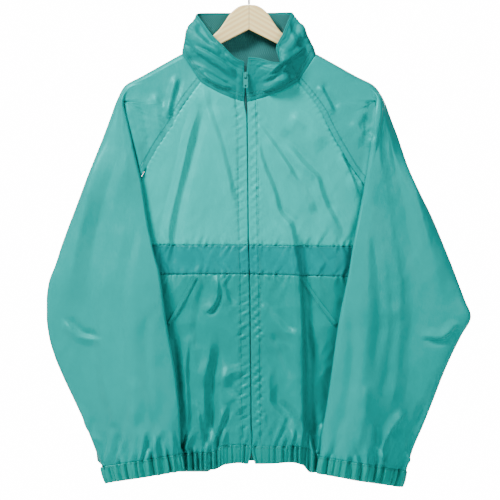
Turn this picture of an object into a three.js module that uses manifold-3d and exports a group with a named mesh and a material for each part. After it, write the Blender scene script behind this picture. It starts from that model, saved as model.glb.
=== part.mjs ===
// Windbreaker jacket with raglan sleeves on a wooden hanger, in millimetres.
// X runs to the viewer's right, Y away from the viewer and Z up.
// The origin is the inside top of the hanger's hook.
// Sides are the wearer's: the right side has negative X.

import * as THREE from "three";
import { mergeVertices } from "three/addons/utils/BufferGeometryUtils.js";
import Module from "manifold-3d";

const wasm = await Module();
wasm.setup();

// Driving sizes

const CLOTH = 1.2;            // shell cloth
const COLLAR_CLOTH = 1.8;     // doubled cloth of the collar
const ELASTIC = 1.6;          // gathered cuff and hem
const SEAM_HALF = 0.16;       // each piece stops this far from a seam line
const SIDE_HALF = 0.85;       // and this far from a side seam, where front and back turn to meet
const FOLD_RADIUS = 2.4;      // sharp folds of the sleeves
const LAYER = 4.6;            // between two layers of a pleat

const NECK = { a: 115.2, z: -141.8 };        // where the shoulder line leaves the collar
const CORNER = { a: 222, z: -202 };          // shoulder corner at the hanger's end
const HANGER_HALF = 5.5;
const OVER_HANGER = 9.6;                     // half depth of the cloth over the hanger

const UNDERARM = { a: 215, z: -405 };
const BAND_TOP = -472;
const BAND_BOTTOM = -522;
const CUFF_HEIGHT = 28;
const CUFF_COLUMNS = 48;
const FRONT_COLUMNS = 12;

const COLOURS = {
  sleeve: "#4fb0ac",
  front: "#4aa39f",
  band: "#479f9d",
  hem: "#3b807a",
  cuff: "#4ca7a1",
  collar: "#38817f",
  lining: "#2c6869",
  tape: "#2f7f7c",
  zip: "#24605f",
  wood: "#eadfbf",
  steel: "#b9bcbe",
};

// Half width of the body and its depth in front of and behind the hanger

const BODY = [
  { z: -892, halfWidth: 222, front: 31, back: 24 },
  { z: -835, halfWidth: 225, front: 34, back: 25 },
  { z: -600, halfWidth: 221, front: 36, back: 26 },
  { z: -472, halfWidth: 216, front: 34, back: 25 },
  { z: -405, halfWidth: 215, front: 32, back: 24 },
  { z: -360, halfWidth: 228, front: 30, back: 24 },
  { z: -300, halfWidth: 246, front: 28, back: 22 },
  { z: -224, halfWidth: 254, front: 26, back: 20 },
  { z: -140, halfWidth: 254, front: 22, back: 18 },
];

// The zip's line and half the gap between the edges beside it

const ZIP = [
  { z: -850, x: 4.4, gap: 1.0 },
  { z: -738, x: 3.4, gap: 1.0 },
  { z: -522, x: 0.9, gap: 1.0 },
  { z: -463, x: -0.9, gap: 1.0 },
  { z: -252, x: -3.4, gap: 1.2 },
  { z: -238, x: -4.6, gap: 2.4 },
  { z: -226, x: -5.6, gap: 3.2 },
  { z: -210, x: -5.8, gap: 2.2 },
  { z: -198, x: -5.8, gap: 1.6 },
  { z: -186, x: -5.8, gap: 2.2 },
  { z: -172, x: -5.8, gap: 3.0 },
  { z: -149, x: -4.4, gap: 4.0 },
];

// Largest folds of the fronts: a line of points, half width and height toward the viewer

const FOLDS = [
  {
    width: 13, height: 6,
    line: [{ x: 64, z: -440 }, { x: 78, z: -523 }, { x: 80, z: -640 }, { x: 82, z: -812 }],
  },
  {
    width: 13, height: -7,
    line: [{ x: 96, z: -480 }, { x: 103, z: -560 }, { x: 106, z: -690 }, { x: 108, z: -822 }],
  },
  { width: 14, height: -4, line: [{ x: 27, z: -666 }, { x: 46, z: -730 }, { x: 70, z: -785 }] },
  { width: 16, height: 4, line: [{ x: 40, z: -300 }, { x: 74, z: -350 }, { x: 106, z: -398 }] },
  { width: 14, height: -4, line: [{ x: 66, z: -290 }, { x: 110, z: -330 }, { x: 136, z: -400 }] },
  {
    width: 15, height: -5,
    line: [{ x: -80, z: -240 }, { x: -110, z: -330 }, { x: -132, z: -420 }, { x: -140, z: -520 }],
  },
  { width: 14, height: 4, line: [{ x: -58, z: -250 }, { x: -34, z: -330 }, { x: -14, z: -420 }] },
  { width: 12, height: -6, line: [{ x: -56, z: -660 }, { x: -68, z: -720 }, { x: -64, z: -800 }] },
  { width: 12, height: 5, line: [{ x: -36, z: -690 }, { x: -48, z: -750 }, { x: -50, z: -805 }] },
  { width: 13, height: 4, line: [{ x: -96, z: -640 }, { x: -90, z: -720 }, { x: -84, z: -800 }] },
];

// Front raglan seams, back raglan seam, and the sleeves' outlines seen from the front

const FRONT_SEAM = {
  right: [
    { z: -405, a: 215 }, { z: -380, a: 200 }, { z: -346, a: 180.6 }, { z: -329, a: 171.7 },
    { z: -298, a: 154.1 }, { z: -269, a: 134.2 }, { z: -245, a: 122.1 }, { z: -226, a: 110.1 },
    { z: -191, a: 83.4 },
  ],
  left: [
    { z: -405, a: 215 }, { z: -380, a: 204 }, { z: -366, a: 196.8 }, { z: -351, a: 185 },
    { z: -320, a: 166 }, { z: -283, a: 144.1 }, { z: -239, a: 122.1 }, { z: -222, a: 110 },
    { z: -190, a: 83.4 },
  ],
};

const BACK_SEAM = [
  { z: -405, a: 215 }, { z: -362, a: 190 }, { z: -300, a: 158 }, { z: -245, a: 128 }, { z: -196, a: 100 },
  { z: -146.5, a: 72 },
];

const OUTER = {
  right: [
    { z: -853.8, a: 253.7 }, { z: -835, a: 261.4 }, { z: -794, a: 276.9 }, { z: -752, a: 295.8 },
    { z: -711, a: 314.8 }, { z: -670, a: 333.7 }, { z: -649, a: 338.8 }, { z: -608, a: 349.2 },
    { z: -567, a: 349.2 }, { z: -546, a: 347.4 }, { z: -505, a: 333.7 }, { z: -463, a: 319.9 },
    { z: -422, a: 304.4 }, { z: -381, a: 289 }, { z: -340, a: 273.5 }, { z: -298, a: 256.3 },
    { z: -257, a: 240.8 }, { z: -216, a: 225.8 }, { z: -202, a: 221.9 },
  ],
  left: [
    { z: -861.2, a: 271.2 }, { z: -835, a: 278.6 }, { z: -794, a: 295.8 }, { z: -752, a: 313 },
    { z: -711, a: 328.5 }, { z: -670, a: 345.7 }, { z: -649, a: 356 }, { z: -628, a: 366.4 },
    { z: -608, a: 378.4 }, { z: -595, a: 382.9 }, { z: -587, a: 380.1 }, { z: -546, a: 364.6 },
    { z: -505, a: 349.2 }, { z: -463, a: 332 }, { z: -422, a: 314.8 }, { z: -381, a: 294.1 },
    { z: -340, a: 275.2 }, { z: -298, a: 261.4 }, { z: -257, a: 246 }, { z: -216, a: 230.5 },
    { z: -202, a: 226 },
  ],
};

const FOLD_EDGE = {
  right: [
    { z: -831, a: 117.1 }, { z: -775, a: 118.3 }, { z: -699, a: 125.6 }, { z: -604, a: 141.6 },
    { z: -515, a: 154.8 }, { z: -472, a: 167.2 }, { z: -422, a: 176 }, { z: -364, a: 184.7 },
    { z: -316, a: 195.7 }, { z: -259, a: 208.8 }, { z: -205, a: 220 },
  ],
  left: [
    { z: -835.8, a: 121.8 }, { z: -800, a: 124.2 }, { z: -739, a: 135 }, { z: -704, a: 139.8 },
    { z: -607, a: 153.4 }, { z: -515, a: 171.8 }, { z: -496, a: 174.8 }, { z: -367, a: 198.8 },
    { z: -257, a: 216 }, { z: -205, a: 223 },
  ],
};

// Rows of a sleeve above the underarm. seam, fold, outer and back are the heights where a row meets the
// front seam, the fold edge, the outline and the back seam. outerA is where it meets the shoulder line,
// leftWider how much further out on the left sleeve, and share how far along the row its columns for the
// pleat lie while it has none. hidden is where the pleat's inner layers end, and pleat how far they open.

const UPPER_ROWS = [
  { seam: -190.5, outerA: 115.2, outer: -141.8, back: -146.5, share: 0.4, pleat: 0 },
  { seam: -208, outerA: 150, outer: -161.3, back: -172, share: 0.55, pleat: 0 },
  { seam: -226, outerA: 186, outer: -181.5, back: -199, share: 0.75, pleat: 0 },
  { seam: -245, outerA: 214, leftWider: 2, outer: -197.4, back: -226, share: 0.9, pleat: 0.1 },
  { seam: -268, fold: -226, outer: -222, back: -254, hidden: 221, pleat: 0.8 },
  { seam: -290, fold: -256, outer: -254, back: -282, hidden: 221, pleat: 1 },
  { seam: -312, fold: -288, outer: -287, back: -310, hidden: 221, pleat: 1 },
  { seam: -336, fold: -318, outer: -320, back: -338, hidden: 220, pleat: 1 },
  { seam: -360, fold: -345, outer: -352, back: -364, hidden: 219, pleat: 1 },
  { seam: -384, fold: -369, outer: -384, back: -386, hidden: 217.5, pleat: 1 },
];

// Heights on the outline of the rows from the underarm to the cuff

const LOWER_ROWS = {
  right: [-414, -441, -472, -505, -538, -567, -596, -628, -662, -700, -740, -780, -818, -853.8],
  left: [-414, -441, -472, -505, -538, -567, -595, -628, -662, -700, -740, -782, -823, -861.2],
};

const CUFFS = {
  right: { foldA: 117.1, foldZ: -831, tilt: 0.166, narrower: 8 },
  left: { foldA: 121.8, foldZ: -835.8, tilt: 0.17, narrower: 7 },
};

// Underarm seam of the sleeve below the armhole, on its face toward the body

const UNDER_SEAM = [
  { z: -845, a: 188 }, { z: -700, a: 222 }, { z: -600, a: 234 }, { z: -500, a: 228 }, { z: -450, a: 223 },
  { z: -420, a: 219.5 }, { z: -405, a: 216 },
];

// Hem seam and hem edge across the fronts, by distance along X

const HEM = {
  right: {
    top: [
      { a: 0, z: -817.7 }, { a: 30, z: -816.5 }, { a: 46, z: -818 }, { a: 62, z: -829 }, { a: 117, z: -832 },
      { a: 225, z: -834 },
    ],
    bottom: [
      { a: 0, z: -848 }, { a: 16, z: -846.2 }, { a: 41, z: -849 }, { a: 60, z: -857.5 },
      { a: 117, z: -860.5 }, { a: 225, z: -862 },
    ],
    edge: -1.7,
  },
  left: {
    top: [
      { a: 0, z: -819 }, { a: 54, z: -819 }, { a: 92, z: -820.5 }, { a: 108, z: -832 }, { a: 225, z: -835 },
    ],
    bottom: [
      { a: 0, z: -848 }, { a: 40, z: -847.5 }, { a: 72, z: -845.4 }, { a: 93, z: -850 },
      { a: 106, z: -862.5 }, { a: 225, z: -864 },
    ],
    edge: 11.4,
  },
};

const POCKETS = {
  right: { top: { a: 97, z: -527 }, bottom: { a: 139, z: -604 } },
  left: { top: { a: 95, z: -529 }, bottom: { a: 150, z: -604 } },
};

// Top edge of the collar from the zip round to the middle of the back, by the share of the neck seam,
// with the outward bulge of the doubled cloth below it

const COLLAR_TOP = {
  right: [
    { s: 0, a: 8.6, z: -157, y: -33, bulge: 0.4 }, { s: 0.07, a: 22, z: -151.5, y: -34, bulge: 1 },
    { s: 0.2, a: 46.4, z: -128, y: -31, bulge: 5 }, { s: 0.33, a: 65.4, z: -109, y: -23, bulge: 6 },
    { s: 0.44, a: 79, z: -90, y: -12, bulge: 6 }, { s: 0.54, a: 90, z: -74.5, y: -1, bulge: 5 },
    { s: 0.62, a: 84, z: -72.5, y: 10, bulge: 4 }, { s: 0.74, a: 58, z: -72, y: 16, bulge: 3 },
    { s: 1, a: 0, z: -72, y: 19, bulge: 3 },
  ],
  left: [
    { s: 0, a: -0.4, z: -149.5, y: -33, bulge: 0.4 }, { s: 0.07, a: 16, z: -151, y: -34.5, bulge: 1 },
    { s: 0.16, a: 42, z: -158, y: -40, bulge: 10 }, { s: 0.22, a: 55, z: -159, y: -39, bulge: 11 },
    { s: 0.29, a: 47, z: -135, y: -30, bulge: 9 }, { s: 0.4, a: 58.5, z: -108.6, y: -20, bulge: 6 },
    { s: 0.48, a: 67, z: -88, y: -10, bulge: 5 }, { s: 0.55, a: 74, z: -71.5, y: -1, bulge: 4 },
    { s: 0.63, a: 68, z: -71, y: 9, bulge: 4 }, { s: 0.76, a: 46, z: -71.5, y: 16, bulge: 3 },
    { s: 1, a: 0, z: -72, y: 19, bulge: 3 },
  ],
};

const COLLAR_ROWS = 7;

// Wooden hanger: upper and lower edge of one arm, and the hook

const ARM_TOP = [
  { a: 0.2, z: -57.6 }, { a: 10, z: -58.3 }, { a: 18, z: -61 }, { a: 26, z: -66.5 }, { a: 34, z: -75 },
  { a: 42, z: -87 }, { a: 52.5, z: -101.5 }, { a: 66, z: -113.5 }, { a: 90, z: -131.5 }, { a: 115, z: -146 },
  { a: 204, z: -196.3 }, { a: 208.5, z: -199.8 }, { a: 208.5, z: -204.3 }, { a: 205, z: -207.3 },
];
const ARM_BOTTOM = [{ a: 160, z: -183.5 }, { a: 47, z: -124.6 }, { a: 0.2, z: -100.5 }];
const HOOK = { wire: 1.9, insideRadius: 17, tailAngle: 216, foot: -57.2 };

// Zip slider and pull tab

const SLIDER = { z: -180, width: 8.4, height: 11, plate: 1.8, arch: 2.6, reach: 3.9 };
const PULL = { width: 8, length: 21, thickness: 1.4, window: 4.4, bar: 1.2, hole: 3.2 };

// Small helpers

function clamp01(t) {
  return Math.max(0, Math.min(1, t));
}

function mix(a, b, t) {
  return a + (b - a) * t;
}

function smooth(low, high, value) {
  const t = clamp01((value - low) / (high - low));
  return t * t * (3 - 2 * t);
}

// Reads a named column of a table whose rows rise in `key`, smoothly between its rows.
function read(table, key, column, at) {
  const n = table.length;
  if (at <= table[0][key]) return table[0][column];
  if (at >= table[n - 1][key]) return table[n - 1][column];
  let i = 0;
  while (at > table[i + 1][key]) i++;
  const slope = (k) => {
    if (k === 0 || k === n - 1) return null;
    const before = (table[k][column] - table[k - 1][column]) / (table[k][key] - table[k - 1][key]);
    const after = (table[k + 1][column] - table[k][column]) / (table[k + 1][key] - table[k][key]);
    return before * after <= 0 ? 0 : (2 * before * after) / (before + after);
  };
  const width = table[i + 1][key] - table[i][key];
  const straight = (table[i + 1][column] - table[i][column]) / width;
  const m0 = slope(i) ?? straight;
  const m1 = slope(i + 1) ?? straight;
  const t = (at - table[i][key]) / width;
  const t2 = t * t;
  const t3 = t2 * t;
  return (2 * t3 - 3 * t2 + 1) * table[i][column] + (t3 - 2 * t2 + t) * width * m0
    + (-2 * t3 + 3 * t2) * table[i + 1][column] + (t3 - t2) * width * m1;
}

function point(x, y, z) {
  return new THREE.Vector3(x, y, z);
}

// Cloth as a wall

// Surface normals of a grid of points.
function gridNormals(rows, wrap) {
  const m = rows.length;
  const n = rows[0].length;
  return rows.map((row, i) => row.map((p, j) => {
    const up = rows[Math.max(0, i - 1)][j];
    const down = rows[Math.min(m - 1, i + 1)][j];
    const before = wrap ? row[(j + n - 1) % n] : row[Math.max(0, j - 1)];
    const after = wrap ? row[(j + 1) % n] : row[Math.min(n - 1, j + 1)];
    const along = after.clone().sub(before);
    const across = down.clone().sub(up);
    return along.cross(across).normalize();
  }));
}

// Draws the edges of a grid back from its seam lines.
function trimmed(rows, amount, wrap) {
  const m = rows.length;
  const n = rows[0].length;
  const atRow = (value, i) => (typeof value === "function" ? value(i) : value);
  const toward = (p, q, d) => p.clone().add(q.clone().sub(p).normalize().multiplyScalar(d));
  let grid = rows.map((row) => row.map((p) => p.clone()));
  grid[0] = grid[0].map((p, j) => toward(p, rows[1][j], amount.top));
  grid[m - 1] = grid[m - 1].map((p, j) => toward(p, rows[m - 2][j], amount.bottom));
  if (!wrap) {
    grid = grid.map((row, i) => row.map((p, j) => {
      if (j === 0) return toward(p, row[1], atRow(amount.first, i));
      if (j === n - 1) return toward(p, row[n - 2], atRow(amount.last, i));
      return p;
    }));
  }
  return grid;
}

// Closed wall of even thickness round a grid of middle points.
function wallGeometry(rows, thickness, wrap = false) {
  const normals = gridNormals(rows, wrap);
  const m = rows.length;
  const n = rows[0].length;
  const positions = [];
  for (const side of [0.5, -0.5]) {
    for (let i = 0; i < m; i++) {
      for (let j = 0; j < n; j++) {
        const p = rows[i][j].clone().addScaledVector(normals[i][j], side * thickness);
        positions.push(p.x, p.y, p.z);
      }
    }
  }
  const at = (layer, i, j) => layer * m * n + i * n + (j % n);
  const triangles = [];
  const quad = (a, b, c, d) => triangles.push(a, b, c, a, c, d);
  const columns = wrap ? n : n - 1;
  for (let i = 0; i < m - 1; i++) {
    for (let j = 0; j < columns; j++) {
      quad(at(0, i, j), at(0, i, j + 1), at(0, i + 1, j + 1), at(0, i + 1, j));
      quad(at(1, i, j), at(1, i + 1, j), at(1, i + 1, j + 1), at(1, i, j + 1));
    }
  }
  for (let j = 0; j < columns; j++) {
    quad(at(1, 0, j), at(1, 0, j + 1), at(0, 0, j + 1), at(0, 0, j));
    quad(at(0, m - 1, j), at(0, m - 1, j + 1), at(1, m - 1, j + 1), at(1, m - 1, j));
  }
  if (!wrap) {
    for (let i = 0; i < m - 1; i++) {
      quad(at(0, i, 0), at(0, i + 1, 0), at(1, i + 1, 0), at(1, i, 0));
      quad(at(1, i, n - 1), at(1, i + 1, n - 1), at(0, i + 1, n - 1), at(0, i, n - 1));
    }
  }
  const geometry = new THREE.BufferGeometry();
  geometry.setAttribute("position", new THREE.Float32BufferAttribute(positions, 3));
  geometry.setIndex(triangles);
  return facingOut(geometry);
}

// Turns every triangle round when the mesh encloses a negative volume.
function facingOut(geometry) {
  const p = geometry.attributes.position;
  const index = geometry.index;
  const a = new THREE.Vector3();
  const b = new THREE.Vector3();
  const c = new THREE.Vector3();
  let volume = 0;
  for (let k = 0; k < index.count; k += 3) {
    a.fromBufferAttribute(p, index.getX(k));
    b.fromBufferAttribute(p, index.getX(k + 1));
    c.fromBufferAttribute(p, index.getX(k + 2));
    volume += a.dot(b.cross(c)) / 6;
  }
  if (volume < 0) {
    for (let k = 0; k < index.count; k += 3) {
      const keep = index.getX(k + 1);
      index.setX(k + 1, index.getX(k + 2));
      index.setX(k + 2, keep);
    }
  }
  geometry.computeVertexNormals();
  return geometry;
}

const jacket = new THREE.Group();

function add(name, geometry, colour, roughness = 0.55, metalness = 0) {
  const material = new THREE.MeshStandardMaterial({ color: colour, roughness, metalness });
  const mesh = new THREE.Mesh(geometry, material);
  mesh.name = name;
  jacket.add(mesh);
  return mesh;
}

const ALL_EDGES = { top: SEAM_HALF, bottom: SEAM_HALF, first: SEAM_HALF, last: SEAM_HALF };

function addCloth(name, rows, colour, thickness = CLOTH, edges = {}, wrap = false) {
  const grid = trimmed(rows, { ...ALL_EDGES, ...edges }, wrap);
  add(name, wallGeometry(grid, thickness, wrap), colour);
  return grid;
}

// Shape of the body

const SHOULDER_SLOPE = (NECK.z - CORNER.z) / (CORNER.a - NECK.a);
const SHOULDER_COS = 1 / Math.hypot(1, SHOULDER_SLOPE);

function shoulderLine(a) {
  return NECK.z - SHOULDER_SLOPE * (a - NECK.a);
}

function halfWidth(z) {
  return read(BODY, "z", "halfWidth", z);
}

// Depth of the cloth at a place on the body, on the column "front" or "back".
function bodyDepth(x, z, column) {
  const a = Math.abs(x);
  const round = Math.max(0, 1 - (a / halfWidth(z)) ** 2.5);
  const full = read(BODY, "z", column, z) * Math.sqrt(round);
  const below = Math.max(0, shoulderLine(a) - z) * SHOULDER_COS;
  const over = OVER_HANGER * Math.sqrt(Math.min(1, below / 7));
  return mix(over, full, smooth(0, 105, below));
}

function lineDistance(line, x, z) {
  let best = Infinity;
  for (let k = 0; k < line.length - 1; k++) {
    const p = line[k];
    const q = line[k + 1];
    const length = Math.hypot(q.x - p.x, q.z - p.z);
    const raw = ((x - p.x) * (q.x - p.x) + (z - p.z) * (q.z - p.z)) / (length * length);
    const t = clamp01(raw);
    best = Math.min(best, Math.hypot(x - mix(p.x, q.x, t), z - mix(p.z, q.z, t)));
  }
  return best;
}

function foldHeight(x, z) {
  let height = 0;
  for (const fold of FOLDS) {
    const d = lineDistance(fold.line, x, z) / fold.width;
    height += fold.height * Math.exp(-d * d);
  }
  const a = Math.abs(x);
  const clearOfZip = smooth(12, 38, a);
  const clearOfSide = 1 - smooth(150, 185, a);
  return height * clearOfZip * clearOfSide;
}

function frontY(x, z) {
  return -bodyDepth(x, z, "front") - foldHeight(x, z);
}

function backY(x, z) {
  return bodyDepth(x, z, "back");
}

// Shares across a front from the zip to the side, closer together where the side turns

function frontShare(j) {
  const s = j / FRONT_COLUMNS;
  return 0.55 * s + 0.45 * Math.sin((Math.PI / 2) * s);
}

const SIDES = { right: -1, left: 1 };

function zipEdgeX(side, z) {
  return read(ZIP, "z", "x", z) + SIDES[side] * read(ZIP, "z", "gap", z);
}

// A row across a front between the zip edge and a point at its outer boundary.
function frontRow(side, zZip, outer, sag = 0) {
  const sign = SIDES[side];
  const xZip = zipEdgeX(side, zZip);
  const row = [];
  for (let j = 0; j <= FRONT_COLUMNS; j++) {
    const u = frontShare(j);
    const x = mix(xZip, sign * outer.a, u);
    const z = mix(zZip, outer.z, u) - sag * 4 * u * (1 - u);
    const y = u === 1 && outer.z <= UNDERARM.z ? 0 : frontY(x, z);
    row.push(point(x, y, z));
  }
  return row;
}

// Heights across the fronts where panels meet

function bandTopZ(side) {
  return side === "left" ? BAND_TOP - 3 : BAND_TOP;
}

function bandBottomZ(side) {
  return side === "left" ? BAND_BOTTOM - 6 : BAND_BOTTOM - 1;
}

function hemRead(side, which, a) {
  return read(HEM[side][which], "a", "z", Math.max(0, a));
}

const NECK_FRONT_Z = -224.5;

// The outer ends of the yoke's rows: down the raglan seam with the sleeve's rows, then down the side
function yokeOuterEnds(side) {
  const raglan = [...UPPER_ROWS.map((row) => row.seam), UNDERARM.z];
  const ends = raglan.map((z) => ({ a: read(FRONT_SEAM[side], "z", "a", z), z }));
  for (const z of [-438, bandTopZ(side)]) ends.push({ a: halfWidth(z), z });
  return ends;
}

function yokeRows(side) {
  const ends = yokeOuterEnds(side);
  const lowest = ends.length - 1;
  return ends.map((outer, i) => {
    const v = i / lowest;
    return frontRow(side, mix(NECK_FRONT_Z, BAND_TOP, v), outer, 4 * (1 - v) ** 2);
  });
}

function bandRows(side) {
  return [0, 0.5, 1].map((v) => {
    const zZip = mix(BAND_TOP, BAND_BOTTOM, v);
    const zSide = mix(bandTopZ(side), bandBottomZ(side), v);
    return frontRow(side, zZip, { a: halfWidth(zSide), z: zSide });
  });
}

const LOWER_STEPS = 10;

// The last row follows the hem seam.
function lowerFrontRows(side) {
  const sign = SIDES[side];
  const rows = [];
  for (let i = 0; i <= LOWER_STEPS; i++) {
    const v = i / LOWER_STEPS;
    const row = [];
    for (let j = 0; j <= FRONT_COLUMNS; j++) {
      const u = frontShare(j);
      const zTop = mix(BAND_BOTTOM, bandBottomZ(side), u);
      const aGuess = mix(0, halfWidth(zTop), u);
      const z = mix(zTop, hemRead(side, "top", aGuess), v);
      const x = mix(zipEdgeX(side, z), sign * halfWidth(z), u);
      row.push(point(x, j === FRONT_COLUMNS ? 0 : frontY(x, z), z));
    }
    rows.push(row);
  }
  return rows;
}

// Gathered band below a row of seam points, with two columns for each column above.
function hemRows(seam, side) {
  const tops = [];
  for (let j = 0; j < seam.length; j++) {
    tops.push(seam[j].clone());
    if (j < seam.length - 1) tops.push(seam[j].clone().lerp(seam[j + 1], 0.5));
  }
  const last = tops.length - 1;
  return [0, 0.5, 1].map((v) => tops.map((p, k) => {
    const a = Math.abs(p.x);
    const z = mix(p.z, hemRead(side, "bottom", a), v);
    const x = k === 0 ? mix(p.x, HEM[side].edge, v * v) : p.x;
    const pull = mix(1, k === last ? 0.99 : 0.992, v);
    const gather = (k % 2 === 0 ? 1.3 : -1.3) * (k < 3 || k > last - 2 ? 0 : 1) * (v === 0 ? 0.4 : 1);
    const drawn = mix(1, 0.95, v * smooth(12, 45, a));
    const depth = k === last ? 0 : p.y * drawn - gather;
    return point(k === 0 ? x : x * pull, depth, z);
  }));
}

// Depth of the flat facets of a panel at a place seen from the front.
function facetY(rows, x, z) {
  for (let i = 0; i < rows.length - 1; i++) {
    for (let j = 0; j < rows[i].length - 1; j++) {
      const corners = [rows[i][j], rows[i][j + 1], rows[i + 1][j + 1], rows[i + 1][j]];
      for (const [a, b, c] of [[0, 1, 2], [0, 2, 3]]) {
        const A = corners[a];
        const B = corners[b];
        const C = corners[c];
        const area = (B.x - A.x) * (C.z - A.z) - (C.x - A.x) * (B.z - A.z);
        const u = ((x - A.x) * (C.z - A.z) - (C.x - A.x) * (z - A.z)) / area;
        const v = ((B.x - A.x) * (z - A.z) - (x - A.x) * (B.z - A.z)) / area;
        if (u >= -1e-6 && v >= -1e-6 && u + v <= 1 + 1e-6) return A.y + u * (B.y - A.y) + v * (C.y - A.y);
      }
    }
  }
  return frontY(x, z);
}

const panels = {};

for (const side of ["right", "left"]) {
  const yoke = yokeRows(side);
  const band = bandRows(side);
  const lower = lowerFrontRows(side);
  panels[side] = { yoke, band, lower };
  const yokeEdge = (i) => (i < UPPER_ROWS.length - 1 ? SEAM_HALF : SIDE_HALF);
  addCloth(`front_yoke_${side}`, yoke, COLOURS.front, CLOTH, { first: 0, last: yokeEdge });
  addCloth(`front_band_${side}`, band, COLOURS.band, CLOTH, { first: 0, last: SIDE_HALF });
  addCloth(`front_lower_${side}`, lower, COLOURS.front, CLOTH, { first: 0, last: SIDE_HALF });
  const hem = hemRows(lower[LOWER_STEPS], side);
  addCloth(`hem_${side}`, hem, COLOURS.hem, ELASTIC, { first: 0, last: 1.1, bottom: 0 });
}

// Back, from the neck to the hem

const BACK_COLUMNS = 14;
const BACK_UPPER = 7;
const BACK_LOWER = 7;

function backShare(j) {
  const s = (2 * j) / BACK_COLUMNS - 1;
  return 0.55 * s + 0.45 * Math.sin((Math.PI / 2) * s);
}

// How much higher the back's hem hangs in its middle, behind the higher middle of the front hem.
function backLift(x) {
  return 19 * smooth(-74, -46, x) * (1 - smooth(90, 114, x));
}

function backRows() {
  const rows = [];
  for (let i = 0; i <= BACK_UPPER + BACK_LOWER; i++) {
    const upper = i <= BACK_UPPER;
    const v = upper ? i / BACK_UPPER : (i - BACK_UPPER) / BACK_LOWER;
    const z = upper ? mix(-146.5, UNDERARM.z, v) : mix(UNDERARM.z, -835, v);
    const edge = upper ? read(BACK_SEAM, "z", "a", z) : halfWidth(z);
    const dip = upper ? 6 * (1 - v) ** 3 : 0;
    const row = [];
    for (let j = 0; j <= BACK_COLUMNS; j++) {
      const u = backShare(j);
      const x = edge * u;
      const raised = upper ? -dip * (1 - u * u) : backLift(x) * v;
      const zHere = z + raised + (i === BACK_UPPER + BACK_LOWER && u < 0 ? -u : 0);
      const atSide = !upper || i === BACK_UPPER;
      row.push(point(x, atSide && Math.abs(u) > 0.999 ? 0 : backY(x, zHere), zHere));
    }
    rows.push(row);
  }
  return rows;
}

const back = backRows();
const backEdge = (i) => (i < BACK_UPPER ? SEAM_HALF : SIDE_HALF);
addCloth("back", back, COLOURS.front, CLOTH, { first: backEdge, last: backEdge });

function backHemRows() {
  const seam = back[back.length - 1];
  const tops = [];
  for (let j = 0; j < seam.length - 1; j++) {
    tops.push(seam[j].clone(), seam[j].clone().lerp(seam[j + 1], 0.5));
  }
  tops.push(seam[seam.length - 1].clone());
  const last = tops.length - 1;
  return [0, 0.5, 1].map((v) => tops.map((p, k) => {
    const gather = (k % 2 === 0 ? 1.3 : -1.3) * (k < 2 || k > last - 2 ? 0 : 1) * (v === 0 ? 0.4 : 1);
    const atSide = k === 0 || k === last;
    const pull = mix(1, atSide ? 0.99 : 0.992, v);
    return point(p.x * pull, atSide ? 0 : p.y * mix(1, 0.95, v) + gather, mix(p.z, -863 + backLift(p.x), v));
  }));
}

addCloth("hem_back", backHemRows(), COLOURS.hem, ELASTIC, { first: 1.1, last: 1.1, bottom: 0 });

// Sleeves

// Clearance of a sleeve's hidden face from the hanger's plane, in front of the body.
function sleeveBase(a, z) {
  const w = halfWidth(z);
  const free = 1 - smooth(w - 55, w + 55, a);
  const hanging = (read(BODY, "z", "front", z) + 4.5) * free + 4;
  const near = -frontY(Math.min(a, w), z) + LAYER;
  const down = smooth(-(UNDERARM.z + 2), -(UNDERARM.z - 70), -z);
  return { value: mix(near, hanging, down), down };
}

const SHARES = { a: 3, b: 2, c: 9, d: 6 };

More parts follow.
